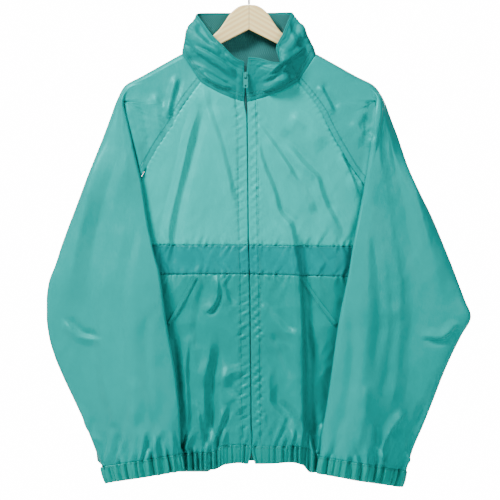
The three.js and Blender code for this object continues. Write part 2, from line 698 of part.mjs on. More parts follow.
// One row of a sleeve as middle points: seam, hidden fold, fold edge, outer edge, back seam.
function sleeveRow(side, key) {
  const pts = [];
  const push = (a, y, z) => pts.push({ a, y, z });
  const r = FOLD_RADIUS;
  const inTube = key.hiddenA === null;
  const pleat = key.pleat;
  const layered = (a, z, k) => frontY(SIDES[side] * a, z) - LAYER * k * pleat;

  if (pleat < 0.5) {
    // No pleat yet: the front lies in one line from the seam to the shoulder line.
    const steps = SHARES.a + 1 + SHARES.b;
    const last = SHARES.c;
    for (let k = 0; k <= steps + last; k++) {
      const t = k <= steps ? (key.share * k) / steps : mix(key.share, 0.975, (k - steps) / last);
      const a = mix(key.seamA, key.outerA, t);
      const z = mix(key.seamZ, key.outerZ, t);
      push(a, frontY(SIDES[side] * a, z), z);
    }
    push(key.outerA, 0, key.outerZ);
    for (let k = 0; k < SHARES.d; k++) {
      const t = mix(0.03, 1, (k / (SHARES.d - 1)) ** 1.7);
      const a = mix(key.outerA, key.backA, t);
      const z = mix(key.outerZ, key.backZ, t);
      push(a, backY(a, z), z);
    }
    return pts;
  }

  if (inTube) {
    // From the seam to the fold edge along the face toward the body.
    const steps = SHARES.a + 1 + SHARES.b;
    for (let k = 0; k < steps; k++) {
      const t = k / (steps - 1);
      const a = mix(key.seamA, key.foldA + r, t);
      const z = mix(key.seamZ, key.foldZ, t);
      push(a, underFace(a, z, key), z);
    }
  } else {
    const hiddenZ = mix(key.foldZ, key.outerZ, 0.4);
    const aEnd = key.hiddenA - r * pleat;
    for (let k = 0; k < SHARES.a; k++) {
      const a = mix(key.seamA, aEnd, k / (SHARES.a - 1));
      const z = mix(key.seamZ, hiddenZ, k / (SHARES.a - 1));
      push(a, layered(a, z, 0), z);
    }
    push(key.hiddenA, layered(key.hiddenA, hiddenZ, 0.5), hiddenZ);
    const bStart = key.hiddenA - r;
    const bEnd = key.foldA + r;
    push(bStart, layered(bStart, hiddenZ, 1), mix(hiddenZ, key.foldZ, 0.1));
    push(bEnd, layered(bEnd, key.foldZ, 1), mix(hiddenZ, key.foldZ, 0.9));
  }
  const foldBase = inTube ? -underFace(key.foldA + r, key.foldZ, key) : -layered(key.foldA, key.foldZ, 1);
  push(key.foldA, -foldBase - LAYER * 0.5 * pleat, key.foldZ);

  // The face toward the viewer, from the fold edge to the outer edge.
  const width = key.outerA - key.foldA;
  const thick = key.thick;
  const cStart = Math.min(key.foldA + r * pleat, key.outerA - 4);
  const cEnd = key.outerA - Math.min(r, width * 0.12 + 0.6);
  for (let k = 0; k < SHARES.c; k++) {
    const t = k / (SHARES.c - 1);
    const a = mix(cStart, cEnd, t);
    const z = mix(key.foldZ, key.outerZ, clamp01((a - key.foldA) / width));
    const bulge = thick * Math.sin(Math.PI * mix(0.03, 0.97, t)) ** 0.65;
    const tone = sleeveTone(side, t, z) * smooth(0, 0.16, t) * smooth(0, 0.16, 1 - t);
    let y;
    if (inTube) {
      y = underFace(a, z, key) - LAYER - bulge - tone;
    } else {
      const fromFold = foldBase + LAYER;
      y = -mix(fromFold, r + 1, t ** 1.2) - bulge - tone;
    }
    push(a, y, z);
  }
  push(key.outerA, -1, key.outerZ);

  // The face away from the viewer, from the outer edge to the back seam or the underarm seam.
  for (let k = 0; k < SHARES.d; k++) {
    const t = k / (SHARES.d - 1);
    const a = mix(cEnd, key.backA, t);
    const z = mix(key.outerZ, key.backZ, t);
    let y;
    if (inTube) {
      y = underFace(a, z, key);
    } else {
      const end = backY(key.backA, key.backZ);
      y = mix(r, end, Math.sqrt(t)) + 5 * Math.sin(Math.PI * t);
    }
    push(a, y, z);
  }
  return pts;
}

// Face of the sleeve toward the body, below the underarm; it meets the underarm point at the top.
function underFace(a, z, key) {
  const { value, down } = sleeveBase(a, z);
  const w = halfWidth(z);
  if (a >= w) {
    const free = (read(BODY, "z", "front", z) + 4.5) * (1 - smooth(w - 55, w + 55, a)) + 4;
    const outward = smooth(w, w + 60, a);
    return -mix(mix(1.2, free, down), mix(1, free * (1 - outward) + 1, down), outward);
  }
  const nearSeam = smooth(w - 22, w, a) * (1 - down);
  return -mix(value, 1.2 - frontY(a, z), nearSeam);
}

// Broad lengthwise waves of a sleeve's front face.
function sleeveTone(side, t, z) {
  const phase = side === "right" ? 0.4 : 2.1;
  const lower = smooth(-700, -840, z);
  const wave = Math.sin(2 * Math.PI * (1.5 * t) + phase + z / 210) * 2.2;
  const gather = Math.sin(2 * Math.PI * 4 * t + phase) * 2.4 * lower;
  return wave + gather;
}

function sleeveRows(side) {
  const keys = [];
  for (const row of UPPER_ROWS) {
    const seamZ = row.seam;
    const seamA = read(FRONT_SEAM[side], "z", "a", seamZ);
    const outerA = row.outerA ?? read(OUTER[side], "z", "a", row.outer);
    const wider = side === "left" ? row.leftWider ?? 0 : 0;
    const key = {
      seamA, seamZ, outerZ: row.outer, outerA: outerA + wider, pleat: row.pleat,
      backZ: row.back, backA: read(BACK_SEAM, "z", "a", row.back),
    };
    if (row.share !== undefined) {
      key.share = row.share;
    } else {
      key.foldA = read(FOLD_EDGE[side], "z", "a", row.fold);
      key.foldZ = row.fold;
      key.hiddenA = row.hidden;
      key.thick = Math.min(20, 0.2 * (key.outerA - key.foldA));
    }
    keys.push(key);
  }
  const heights = LOWER_ROWS[side];
  const cuff = CUFFS[side];
  const first = heights[0];
  const end = heights[heights.length - 1];
  for (const outerZ of heights) {
    const v = (outerZ - first) / (end - first);
    const foldZ = mix(-394, cuff.foldZ, v);
    const seamZ = mix(UNDERARM.z, mix(cuff.foldZ, end, 0.5), v);
    const foldA = read(FOLD_EDGE[side], "z", "a", foldZ);
    const outerA = read(OUTER[side], "z", "a", outerZ);
    const seamA = read(UNDER_SEAM, "z", "a", seamZ);
    keys.push({
      seamA, seamZ, outerZ, outerA, foldA, foldZ, pleat: 1, hiddenA: null,
      backA: seamA + 0.1, backZ: seamZ, thick: mix(20, 15, v),
    });
  }
  const sign = SIDES[side];
  return keys.map((key) => sleeveRow(side, key).map((p) => point(sign * p.a, p.y, p.z)));
}

const sleeves = {};
for (const side of ["right", "left"]) {
  sleeves[side] = sleeveRows(side);
  addCloth(`sleeve_${side}`, sleeves[side], COLOURS.sleeve, CLOTH, { first: 0.25, last: 0.25 });
}

// Cuffs: a gathered ring below the last row of each sleeve

// Points at even steps round a closed loop.
function resampled(points, count) {
  const loop = [...points, points[0]];
  const lengths = [0];
  for (let k = 1; k < loop.length; k++) {
    lengths.push(lengths[k - 1] + loop[k].distanceTo(loop[k - 1]));
  }
  const total = lengths[lengths.length - 1];
  const result = [];
  for (let k = 0; k < count; k++) {
    const want = (total * k) / count;
    let i = 1;
    while (i < lengths.length - 1 && lengths[i] < want) i++;
    const t = (want - lengths[i - 1]) / Math.max(1e-9, lengths[i] - lengths[i - 1]);
    result.push(loop[i - 1].clone().lerp(loop[i], clamp01(t)));
  }
  return result;
}

function cuffRows(side) {
  const sign = SIDES[side];
  const end = sleeves[side][sleeves[side].length - 1];
  const ring = resampled(end.slice(0, -1), CUFF_COLUMNS);
  const centre = ring.reduce((sum, p) => sum.add(p), point(0, 0, 0)).multiplyScalar(1 / ring.length);
  const tilt = Math.atan(CUFFS[side].tilt);
  const down = point(-sign * Math.sin(tilt), 0, -Math.cos(tilt));
  const across = point(sign * Math.cos(tilt), 0, -Math.sin(tilt));
  const n = ring.length;
  return [0, 0.45, 1].map((v) => ring.map((p, k) => {
    const before = ring[(k + n - 1) % n];
    const after = ring[(k + 1) % n];
    const along = after.clone().sub(before).normalize();
    const outward = along.cross(down).normalize();
    if (outward.dot(p.clone().sub(centre)) < 0) outward.negate();
    const gather = (k % 2 === 0 ? 1.5 : -1.5) * mix(0.5, 1, v);
    const offset = p.clone().sub(centre).dot(across);
    const pull = offset > 0 ? -CUFFS[side].narrower * v * (offset / 70) * 0.5 : 0;
    return p.clone().addScaledVector(down, 0.4 + CUFF_HEIGHT * v)
      .addScaledVector(outward, gather).addScaledVector(across, pull);
  }));
}

for (const side of ["right", "left"]) {
  addCloth(`cuff_${side}`, cuffRows(side), COLOURS.cuff, ELASTIC, { top: 0, bottom: 0 }, true);
}

// Collar on the neck seam, from the zip round the back to the zip

// Columns of the collar along the neck seam, by their places on the yoke, the sleeve and the back
const COLLAR_COLUMNS = {
  yoke: [0, 2, 4, 6, 8, 10, 12],
  sleeve: [3, 6, 8, 10, 12, 13, 14, 15, 16, 17, 18, 20, 22],
  back: [2, 4, 7],
};

function neckLine(side) {
  const front = panels[side].yoke[0];
  const shoulder = sleeves[side][0];
  const middle = (back[0].length - 1) / 2;
  const half = side === "right" ? back[0].slice(0, middle + 1) : back[0].slice(middle).reverse();
  return [
    ...COLLAR_COLUMNS.yoke.map((k) => front[k]),
    ...COLLAR_COLUMNS.sleeve.map((k) => shoulder[k]),
    ...COLLAR_COLUMNS.back.map((k) => half[k]),
  ].map((p) => p.clone());
}

function shares(points) {
  const lengths = [0];
  for (let k = 1; k < points.length; k++) lengths.push(lengths[k - 1] + points[k].distanceTo(points[k - 1]));
  return lengths.map((length) => length / lengths[lengths.length - 1]);
}

function collarHalf(side, heights) {
  const sign = SIDES[side];
  const base = neckLine(side);
  const along = shares(base);
  const top = COLLAR_TOP[side];
  return heights.map((v) => base.map((p, k) => {
    const s = along[k];
    const goal = point(sign * read(top, "s", "a", s), read(top, "s", "y", s), read(top, "s", "z", s));
    const q = p.clone().lerp(goal, v);
    if (k === 0) q.x = zipEdgeX(side, q.z);
    const outward = point(q.x / 105, q.y / 30, 0);
    if (outward.length() > 0) outward.normalize();
    const bulge = read(top, "s", "bulge", s) * Math.sin(Math.PI * v);
    return q.addScaledVector(outward, bulge);
  }));
}

function collarGrid(heights) {
  const right = collarHalf("right", heights);
  const left = collarHalf("left", heights);
  return heights.map((v, i) => [...right[i], ...left[i].slice(0, -1).reverse()]);
}

const collarHeights = Array.from({ length: COLLAR_ROWS }, (unused, i) => i / (COLLAR_ROWS - 1));
const COLLAR_EDGES = { top: 0.7, bottom: 0, first: 0, last: 0 };
addCloth("collar", collarGrid(collarHeights), COLOURS.collar, COLLAR_CLOTH, COLLAR_EDGES);

const liningGrid = collarGrid([0.16, 0.36, 0.56, 0.76, 0.95]);
const liningNormals = gridNormals(liningGrid, false);
const liningSkip = 3;
const lining = liningGrid.map((row, i) => row.map((p, j) => {
  const n = liningNormals[i][j];
  const inward = Math.sign(-(n.x * p.x / 105 + n.y * p.y / 30)) || 1;
  return p.clone().addScaledVector(n, inward * 2.3);
}).slice(liningSkip, -liningSkip));
addCloth("collar_lining", lining, COLOURS.lining, CLOTH, { top: 0, bottom: 0, first: 0, last: 0 });

// Zip: tapes behind the edges, the closed coil, its end box, slider and pull tab

const TAPE = { inner: 2.6, width: 11, collarWidth: 7, thickness: 0.8, behind: 1.9 };
const ZIP_TOP = -163;
const ZIP_END = -829;
const COLLAR_ZIP_TOP = { z: -153, y: -33 };

function zipY(z) {
  if (z <= NECK_FRONT_Z) return frontY(0, z);
  const up = (z - NECK_FRONT_Z) / (COLLAR_ZIP_TOP.z - NECK_FRONT_Z);
  return mix(frontY(0, NECK_FRONT_Z), COLLAR_ZIP_TOP.y, up);
}

const zipHeights = [];
for (const { from, to, steps } of [
  { from: ZIP_TOP, to: NECK_FRONT_Z, steps: 3 },
  { from: NECK_FRONT_Z, to: BAND_TOP, steps: UPPER_ROWS.length + 2 },
  { from: BAND_TOP, to: BAND_BOTTOM, steps: 2 },
  { from: BAND_BOTTOM, to: ZIP_END, steps: LOWER_STEPS },
]) {
  for (let k = 0; k < steps; k++) zipHeights.push(mix(from, to, k / steps));
}
zipHeights.push(ZIP_END);

function tapeRows(side) {
  const sign = SIDES[side];
  const { yoke, band, lower } = panels[side];
  return zipHeights.map((z) => {
    const middle = read(ZIP, "z", "x", z);
    const width = z > NECK_FRONT_Z - 6 ? TAPE.collarWidth : TAPE.width;
    return [TAPE.inner, width].map((offset) => {
      const x = middle + sign * offset;
      const panel = z > BAND_TOP ? yoke : z > BAND_BOTTOM ? band : lower;
      const y = z > NECK_FRONT_Z || offset === TAPE.inner ? zipY(z) : Math.max(zipY(z), facetY(panel, x, z));
      return point(x, y + TAPE.behind, z);
    });
  });
}

function coilRows() {
  return zipHeights.map((z) => {
    const middle = read(ZIP, "z", "x", z);
    return [point(middle - 2.2, zipY(z) + 1.9, z), point(middle + 2.2, zipY(z) + 1.9, z)];
  });
}

add("zip_coil", wallGeometry(coilRows(), 1.4), COLOURS.zip, 0.4);
for (const side of ["right", "left"]) {
  add(`zip_tape_${side}`, wallGeometry(tapeRows(side), TAPE.thickness), COLOURS.tape);
}

function slab(shape, depth, bevel = 0) {
  const geometry = new THREE.ExtrudeGeometry(shape, {
    depth: depth - 2 * bevel,
    bevelEnabled: bevel > 0,
    bevelThickness: bevel,
    bevelSize: bevel,
    bevelOffset: -bevel,
    bevelSegments: 2,
    curveSegments: 6,
  });
  geometry.translate(0, 0, -(depth - 2 * bevel) / 2);
  return geometry;
}

function shapeOf(points) {
  const shape = new THREE.Shape();
  shape.moveTo(points[0][0], points[0][1]);
  for (const [u, v] of points.slice(1)) shape.lineTo(u, v);
  shape.closePath();
  return shape;
}

function rectangle(width, height, corner = 0) {
  const w = width / 2;
  const h = height / 2;
  const c = corner;
  if (c === 0) return shapeOf([[-w, -h], [w, -h], [w, h], [-w, h]]);
  return shapeOf([
    [-w + c, -h], [w - c, -h], [w, -h + c], [w, h - c],
    [w - c, h], [-w + c, h], [-w, h - c], [-w, -h + c],
  ]);
}

// Lays a shape drawn in X and height on the XZ plane, with its depth along Y.
function upright(geometry) {
  return geometry.rotateX(Math.PI / 2);
}

function joined(first, second) {
  const solid = (geometry) => {
    const bare = geometry.clone();
    bare.deleteAttribute("normal");
    bare.deleteAttribute("uv");
    const merged = mergeVertices(bare, 1e-4);
    const index = merged.index.array;
    return new wasm.Manifold(new wasm.Mesh({
      numProp: 3,
      vertProperties: new Float32Array(merged.attributes.position.array),
      triVerts: new Uint32Array(index),
    }));
  };
  const mesh = solid(first).add(solid(second)).getMesh();
  const geometry = new THREE.BufferGeometry();
  geometry.setAttribute("position", new THREE.Float32BufferAttribute(mesh.vertProperties, 3));
  geometry.setIndex(Array.from(mesh.triVerts));
  geometry.computeVertexNormals();
  return geometry;
}

const boxShape = rectangle(4.4, 8.4, 0.8);
const endBox = upright(slab(boxShape, 2.6));
endBox.translate(read(ZIP, "z", "x", -833.8), zipY(-833.8) + 2.3, -833.8);
add("zip_end_box", endBox, COLOURS.zip, 0.4);

const sliderX = read(ZIP, "z", "x", SLIDER.z);
const clothFace = zipY(SLIDER.z) - COLLAR_CLOTH / 2 - 1.2;
const plateY = clothFace - SLIDER.plate / 2;
const plateFront = clothFace - SLIDER.plate;

const plate = upright(slab(rectangle(SLIDER.width, SLIDER.height, 1.8), SLIDER.plate));
plate.translate(sliderX, plateY, SLIDER.z);

// The arch is drawn in depth and height, with the hole that the pull's bar goes through.
const archShape = rectangle(SLIDER.reach + 0.6, 8.4, 0.9);
const archHole = new THREE.Path();
archHole.moveTo(-1.6, -2.9);
archHole.lineTo(-1.6, 2.9);
archHole.lineTo(1.0, 2.9);
archHole.lineTo(1.0, -2.9);
archHole.closePath();
archShape.holes.push(archHole);

// Stands a shape drawn in depth and height across X.
function sideSlab(shape, width) {
  const geometry = slab(shape, width);
  const position = geometry.attributes.position;
  for (let k = 0; k < position.count; k++) {
    const depth = position.getX(k);
    const height = position.getY(k);
    const across = position.getZ(k);
    position.setXYZ(k, across, depth, height);
  }
  return geometry;
}

const archSolid = sideSlab(archShape, SLIDER.arch);
archSolid.translate(sliderX, plateFront - (SLIDER.reach - 0.6) / 2, SLIDER.z);
const postShape = rectangle(3, 6);
const postBack = zipY(SLIDER.z) + 0.8;
const postDepth = postBack - plateY;
const post = upright(slab(postShape, postDepth));
post.translate(sliderX, (postBack + plateY) / 2, SLIDER.z);
add("zip_slider", joined(joined(plate, archSolid), post), COLOURS.zip, 0.35, 0.3);

// Pull tab: a bar through the arch, a window below it, and a square hole near its end

const pullBarZ = SLIDER.z - 1.6;
const pullY = plateFront - 1.95;
const tabShape = rectangle(PULL.width, PULL.length, 1.4);
const tabWindow = rectangle(4.2, PULL.window);
const tabHole = rectangle(PULL.hole, PULL.hole);
const holePath = (shape, dy) => {
  const path = new THREE.Path();
  const outline = shape.getPoints();
  path.moveTo(outline[0].x, outline[0].y + dy);
  for (const p of outline.slice(1).reverse()) path.lineTo(p.x, p.y + dy);
  path.closePath();
  return path;
};
tabShape.holes.push(holePath(tabWindow, PULL.length / 2 - PULL.bar - PULL.window / 2));
tabShape.holes.push(holePath(tabHole, -PULL.length / 2 + 2.2 + PULL.hole / 2));
const tab = upright(slab(tabShape, PULL.thickness));
tab.translate(sliderX, pullY, pullBarZ + PULL.bar / 2 - PULL.length / 2);
add("zip_pull", tab, COLOURS.zip, 0.35, 0.3);

// Slanted pocket edges, laid on the lower fronts

const POCKET_EDGE = { width: 7, thickness: 1, steps: 10, lift: 1.75 };

for (const side of ["right", "left"]) {
  const sign = SIDES[side];
  const { top, bottom } = POCKETS[side];
  const length = Math.hypot(bottom.a - top.a, bottom.z - top.z);
  const across = { a: (top.z - bottom.z) / length, z: (bottom.a - top.a) / length };
  const rows = [];
  for (let i = 0; i <= POCKET_EDGE.steps; i++) {
    const t = i / POCKET_EDGE.steps;
    rows.push([0, 1].map((k) => {
      const a = mix(top.a, bottom.a, t) - across.a * POCKET_EDGE.width * k;
      const z = mix(top.z, bottom.z, t) - across.z * POCKET_EDGE.width * k;
      const x = sign * a;
      return point(x, facetY(panels[side].lower, x, z) - POCKET_EDGE.lift, z);
    }));
  }
  add(`pocket_edge_${side}`, wallGeometry(rows, POCKET_EDGE.thickness), COLOURS.front);
}

// Hanger arms

for (const side of ["right", "left"]) {
  const sign = SIDES[side];
  const outline = [...ARM_TOP, ...ARM_BOTTOM].map((p) => [sign * p.a, p.z]);
  if (sign < 0) outline.reverse();
  const arm = upright(slab(shapeOf(outline), 2 * HANGER_HALF, 2.2));
  add(`hanger_arm_${side}`, arm, COLOURS.wood, 0.6);
}

// Hook

const hookRadius = HOOK.insideRadius + HOOK.wire;
const hookPoints = [point(0, 0, HOOK.foot), point(0, 0, -51), point(0, 0, -45.5), point(2.2, 0, -39.8)];
for (let angle = -58; angle <= HOOK.tailAngle; angle += 18) {
  const t = (angle * Math.PI) / 180;
  hookPoints.push(point(hookRadius * Math.cos(t), 0, -HOOK.insideRadius + hookRadius * Math.sin(t)));
}
const hookCurve = new THREE.CatmullRomCurve3(hookPoints, false, "centripetal");
const wireShape = new THREE.Shape();
for (let k = 0; k < 8; k++) {
  const t = (2 * Math.PI * k) / 8;
  if (k === 0) wireShape.moveTo(HOOK.wire, 0);
  else wireShape.lineTo(HOOK.wire * Math.cos(t), HOOK.wire * Math.sin(t));
}
wireShape.closePath();
const hook = new THREE.ExtrudeGeometry(wireShape, { steps: 32, extrudePath: hookCurve, bevelEnabled: false });
add("hook", hook, COLOURS.steel, 0.3, 0.9);

export default jacket;
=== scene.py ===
# Looks of a windbreaker jacket on a wooden hanger.
# Shapes are worked out in millimetres and turned into metres when a mesh is made.
# X runs to the viewer's right, Y away from the viewer and Z up. Sides are the wearer's.

import math
from types import SimpleNamespace

import bmesh
import bpy
import numpy as np
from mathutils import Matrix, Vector


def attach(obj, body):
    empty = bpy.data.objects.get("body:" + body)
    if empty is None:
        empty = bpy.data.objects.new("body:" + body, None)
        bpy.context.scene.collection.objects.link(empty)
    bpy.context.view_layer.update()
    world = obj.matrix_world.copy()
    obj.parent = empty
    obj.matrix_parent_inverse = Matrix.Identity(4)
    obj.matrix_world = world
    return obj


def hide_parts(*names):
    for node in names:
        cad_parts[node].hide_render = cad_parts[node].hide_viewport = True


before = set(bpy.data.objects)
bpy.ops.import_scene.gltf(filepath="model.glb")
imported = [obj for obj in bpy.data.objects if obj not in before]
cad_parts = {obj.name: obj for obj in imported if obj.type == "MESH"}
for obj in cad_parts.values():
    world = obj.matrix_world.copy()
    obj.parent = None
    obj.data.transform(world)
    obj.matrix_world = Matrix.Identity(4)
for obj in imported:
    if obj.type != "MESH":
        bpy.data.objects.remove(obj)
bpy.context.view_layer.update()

BODY = "jacket_on_hanger"
SIDES = {"right": -1, "left": 1}

# Sizes of the jacket's form

NECK_A, NECK_Z = 115.2, -141.8
CORNER_A, CORNER_Z = 222.0, -202.0
OVER_HANGER = 9.6
UNDERARM_Z = -405.0
BAND_TOP = -472.0
BAND_BOTTOM = -522.0
NECK_FRONT_Z = -224.5
LAYER = 4.6
FOLD_RADIUS = 2.4
CUFF_HEIGHT = 28.0
BACK_NECK_Z = -146.5
BACK_SEAM_Z = -835.0
HEM_BACK_Z = -863.0

FORM = {
    "z": [-892, -835, -600, -472, -405, -360, -300, -224, -140],
    "half_width": [222, 225, 221, 216, 215, 228, 246, 254, 254],
    "front": [31, 34, 36, 34, 32, 30, 28, 26, 22],
    "back": [24, 25, 26, 25, 24, 24, 22, 20, 18],
}

ZIP = {
    "z": [-850, -738, -522, -463, -252, -238, -226, -210, -198, -186, -172, -149],
    "x": [4.4, 3.4, 0.9, -0.9, -3.4, -4.6, -5.6, -5.8, -5.8, -5.8, -5.8, -4.4],
    "gap": [1.0, 1.0, 1.0, 1.0, 1.2, 2.4, 3.2, 2.2, 1.6, 2.2, 3.0, 4.0],
}

FRONT_SEAM = {
    "right": {
        "z": [-405, -380, -346, -329, -298, -269, -245, -226, -191],
        "a": [215, 200, 180.6, 171.7, 154.1, 134.2, 122.1, 110.1, 83.4],
    },
    "left": {
        "z": [-405, -380, -366, -351, -320, -283, -239, -222, -190],
        "a": [215, 204, 196.8, 185, 166, 144.1, 122.1, 110, 83.4],
    },
}

BACK_SEAM = {
    "z": [-405, -362, -300, -245, -196, -146.5],
    "a": [215, 190, 158, 128, 100, 72],
}

OUTER = {
    "right": {
        "z": [-853.8, -835, -794, -752, -711, -670, -649, -608, -567, -546, -505, -463, -422,
              -381, -340, -298, -257, -216, -202],
        "a": [253.7, 261.4, 276.9, 295.8, 314.8, 333.7, 338.8, 349.2, 349.2, 347.4, 333.7, 319.9,
              304.4, 289, 273.5, 256.3, 240.8, 225.8, 221.9],
    },
    "left": {
        "z": [-861.2, -835, -794, -752, -711, -670, -649, -628, -608, -595, -587, -546, -505, -463,
              -422, -381, -340, -298, -257, -216, -202],
        "a": [271.2, 278.6, 295.8, 313, 328.5, 345.7, 356, 366.4, 378.4, 382.9, 380.1, 364.6, 349.2,
              332, 314.8, 294.1, 275.2, 261.4, 246, 230.5, 226],
    },
}

FOLD_EDGE = {
    "right": {
        "z": [-831, -775, -699, -604, -515, -472, -422, -364, -316, -259, -205],
        "a": [117.1, 118.3, 125.6, 141.6, 154.8, 167.2, 176, 184.7, 195.7, 208.8, 220],
    },
    "left": {
        "z": [-835.8, -800, -739, -704, -607, -515, -496, -367, -257, -205],
        "a": [121.8, 124.2, 135, 139.8, 153.4, 171.8, 174.8, 198.8, 216, 223],
    },
}

# Rows of a sleeve above the underarm: heights of its front seam, outer edge and back seam, and the
# depth of its pleat. Straight rows go on with the outer edge's distance from the middle and the share
# of the way at which the points change their step. Pleated rows go on with the fold edge's height and
# the hidden fold's distance from the middle.

STRAIGHT_ROWS = [
    (-190.5, -141.8, -146.5, 0, 115.2, 0.4),
    (-208, -161.3, -172, 0, 150, 0.55),
    (-226, -181.5, -199, 0, 186, 0.75),
    (-245, -197.4, -226, 0.1, 214, 0.9),
]
PLEATED_ROWS = [
    (-268, -222, -254, 0.8, -226, 221),
    (-290, -254, -282, 1, -256, 221),
    (-312, -287, -310, 1, -288, 221),
    (-336, -320, -338, 1, -318, 220),
    (-360, -352, -364, 1, -345, 219),
    (-384, -384, -386, 1, -369, 217.5),
]

LOWER_ROWS = {
    "right": [-414, -441, -472, -505, -538, -567, -596, -628, -662, -700, -740, -780, -818, -853.8],
    "left": [-414, -441, -472, -505, -538, -567, -595, -628, -662, -700, -740, -782, -823, -861.2],
}

CUFFS = {
    "right": {"fold_z": -831, "tilt": 0.166, "narrower": 8},
    "left": {"fold_z": -835.8, "tilt": 0.17, "narrower": 7},
}

UNDER_SEAM = {
    "z": [-845, -700, -600, -500, -450, -420, -405],
    "a": [188, 222, 234, 228, 223, 219.5, 216],
}

HEM_TOP = {
    "right": {"a": [0, 30, 46, 62, 117, 225], "z": [-817.7, -816.5, -818, -829, -832, -834]},
    "left": {"a": [0, 54, 92, 108, 225], "z": [-819, -819, -820.5, -832, -835]},
}
HEM_BOTTOM = {
    "right": {"a": [0, 16, 41, 60, 117, 225], "z": [-848, -846.2, -849, -857.5, -860.5, -862]},
    "left": {"a": [0, 40, 72, 93, 106, 225], "z": [-848, -847.5, -845.4, -850, -862.5, -864]},
}
HEM_EDGE = {"right": -1.7, "left": 11.4}

POCKETS = {
    "right": [(97, -527), (139, -604)],
    "left": [(95, -529), (150, -604)],
}

COLLAR_TOP = {
    "right": {
        "s": [0, 0.07, 0.2, 0.33, 0.44, 0.54, 0.62, 0.74, 1],
        "a": [8.6, 22, 46.4, 65.4, 79, 90, 84, 58, 0],
        "z": [-157, -151.5, -128, -109, -90, -74.5, -72.5, -72, -72],
        "y": [-33, -34, -31, -23, -12, -1, 10, 16, 19],
        "bulge": [0.4, 1, 5, 6, 6, 5, 4, 3, 3],
    },
    "left": {
        "s": [0, 0.07, 0.16, 0.22, 0.29, 0.4, 0.48, 0.55, 0.63, 0.76, 1],
        "a": [-0.4, 16, 42, 55, 47, 58.5, 67, 74, 68, 46, 0],
        "z": [-149.5, -151, -158, -159, -135, -108.6, -88, -71.5, -71, -71.5, -72],
        "y": [-33, -34.5, -40, -39, -30, -20, -10, -1, 9, 16, 19],
        "bulge": [0.4, 1, 10, 11, 9, 6, 5, 4, 4, 3, 3],
    },
}

# The solids' own large folds: half width, height toward the viewer, and path in X and Z

LARGE_FOLDS = [
    (13, 6, [(64, -440), (78, -523), (80, -640), (82, -812)]),
    (13, -7, [(96, -480), (103, -560), (106, -690), (108, -822)]),
    (14, -4, [(27, -666), (46, -730), (70, -785)]),
    (16, 4, [(40, -300), (74, -350), (106, -398)]),
    (14, -4, [(66, -290), (110, -330), (136, -400)]),
    (15, -5, [(-80, -240), (-110, -330), (-132, -420), (-140, -520)]),
    (14, 4, [(-58, -250), (-34, -330), (-14, -420)]),
    (12, -6, [(-56, -660), (-68, -720), (-64, -800)]),
    (12, 5, [(-36, -690), (-48, -750), (-50, -805)]),
    (13, 4, [(-96, -640), (-90, -720), (-84, -800)]),
]

# Smaller creases: half width, height toward the viewer, and the places that the path runs through.
# Places are in picture steps, counted from the left and top edges of a square view of 500 steps.
# A fold has its steep side to the right of its path.

PICTURE_STEP = 1.72
PICTURE_MIDDLE = 249
PICTURE_TOP_Z = -50.6


def fold(width, height, *path, steep=0.5):
    return "fold", width, height, path, steep


def ridge(width, height, *path):
    return "ridge", width, height, path, None


def trough(width, height, *path):
    return "trough", width, height, path, None


FRONT_CREASES = [
    fold(7, 3.2, (289, 220), (295, 246), (300, 275), (303, 336), (304, 380), (303, 442), (307, 458)),
    fold(6, 2.6, (202, 98), (190, 136), (184, 162), (178, 188), (169, 230), (167, 278), steep=1.4),
    fold(5, 1.9, (202, 78), (208, 111), (217, 137), (227, 175), (236, 218), steep=1.5),
    fold(5, 1.9, (252, 116), (269, 139), (281, 156), (302, 190), steep=1.1),
    fold(5, 2.3, (254, 128), (262, 162), (274, 194), (278, 211), (291, 228), (294, 250), steep=1.4),
    fold(6, 2.4, (282, 138), (303, 164), (317, 178), (321, 192), (328, 210), (345, 240), steep=1.2),
    ridge(13, 2.4, (287, 114), (310, 128), (328, 147)),
    fold(6, 2.0, (339, 151), (350, 172), (360, 199)),
    trough(6, 1.4, (300, 176), (314, 200), (322, 232)),
    fold(5, 2.0, (218, 274), (218, 293), (213, 306), (203, 314)),
    fold(5, 1.9, (220, 273), (224, 293), (235, 311), steep=1.5),
    trough(7, 1.8, (206, 278), (200, 300), (196, 330), (198, 360)),
    fold(6, 1.6, (259, 299), (272, 318), (288, 333), (301, 336), steep=1.5),
    fold(6, 2.6, (212, 328), (209, 358), (204, 386), (205, 415), (205, 445), steep=1.8),
    fold(6, 1.6, (215, 388), (226, 376), (240, 371), (250, 371), steep=2.0),
    fold(6, 1.6, (228, 390), (236, 404), (246, 412), steep=2.0),
    fold(5, 1.8, (196, 397), (199, 416), (203, 440)),
    fold(4, 2.4, (228, 405), (219, 425), (212, 450), steep=1.2),
    fold(6, 2.3, (262, 352), (269, 376), (270, 402), (284, 419), (297, 448), steep=1.8),
    trough(6, 1.6, (270, 330), (282, 352), (292, 380)),
    ridge(6, 1.5, (258, 395), (264, 420), (272, 444)),
    fold(6, 1.8, (190, 330), (186, 370), (188, 410), (186, 448)),
    trough(8, 1.8, (172, 330), (176, 360), (180, 400)),
]

BACK_CREASES = [
    fold(9, 2.6, (200, 95), (192, 150), (184, 215), (182, 300), (186, 380)),
    fold(9, 2.4, (300, 95), (306, 160), (318, 230), (322, 310), (318, 400)),
    trough(12, 2.0, (248, 110), (243, 200), (250, 300), (245, 420)),
    ridge(10, 1.8, (225, 230), (214, 300), (218, 380), (210, 445)),
    fold(8, 2.2, (280, 260), (288, 330), (284, 400), (290, 450)),
    trough(9, 1.8, (160, 150), (170, 215), (160, 300), (165, 390)),
    ridge(9, 1.8, (342, 160), (334, 230), (342, 320), (338, 410)),
    fold(7, 2.0, (262, 395), (268, 425), (262, 452)),
]

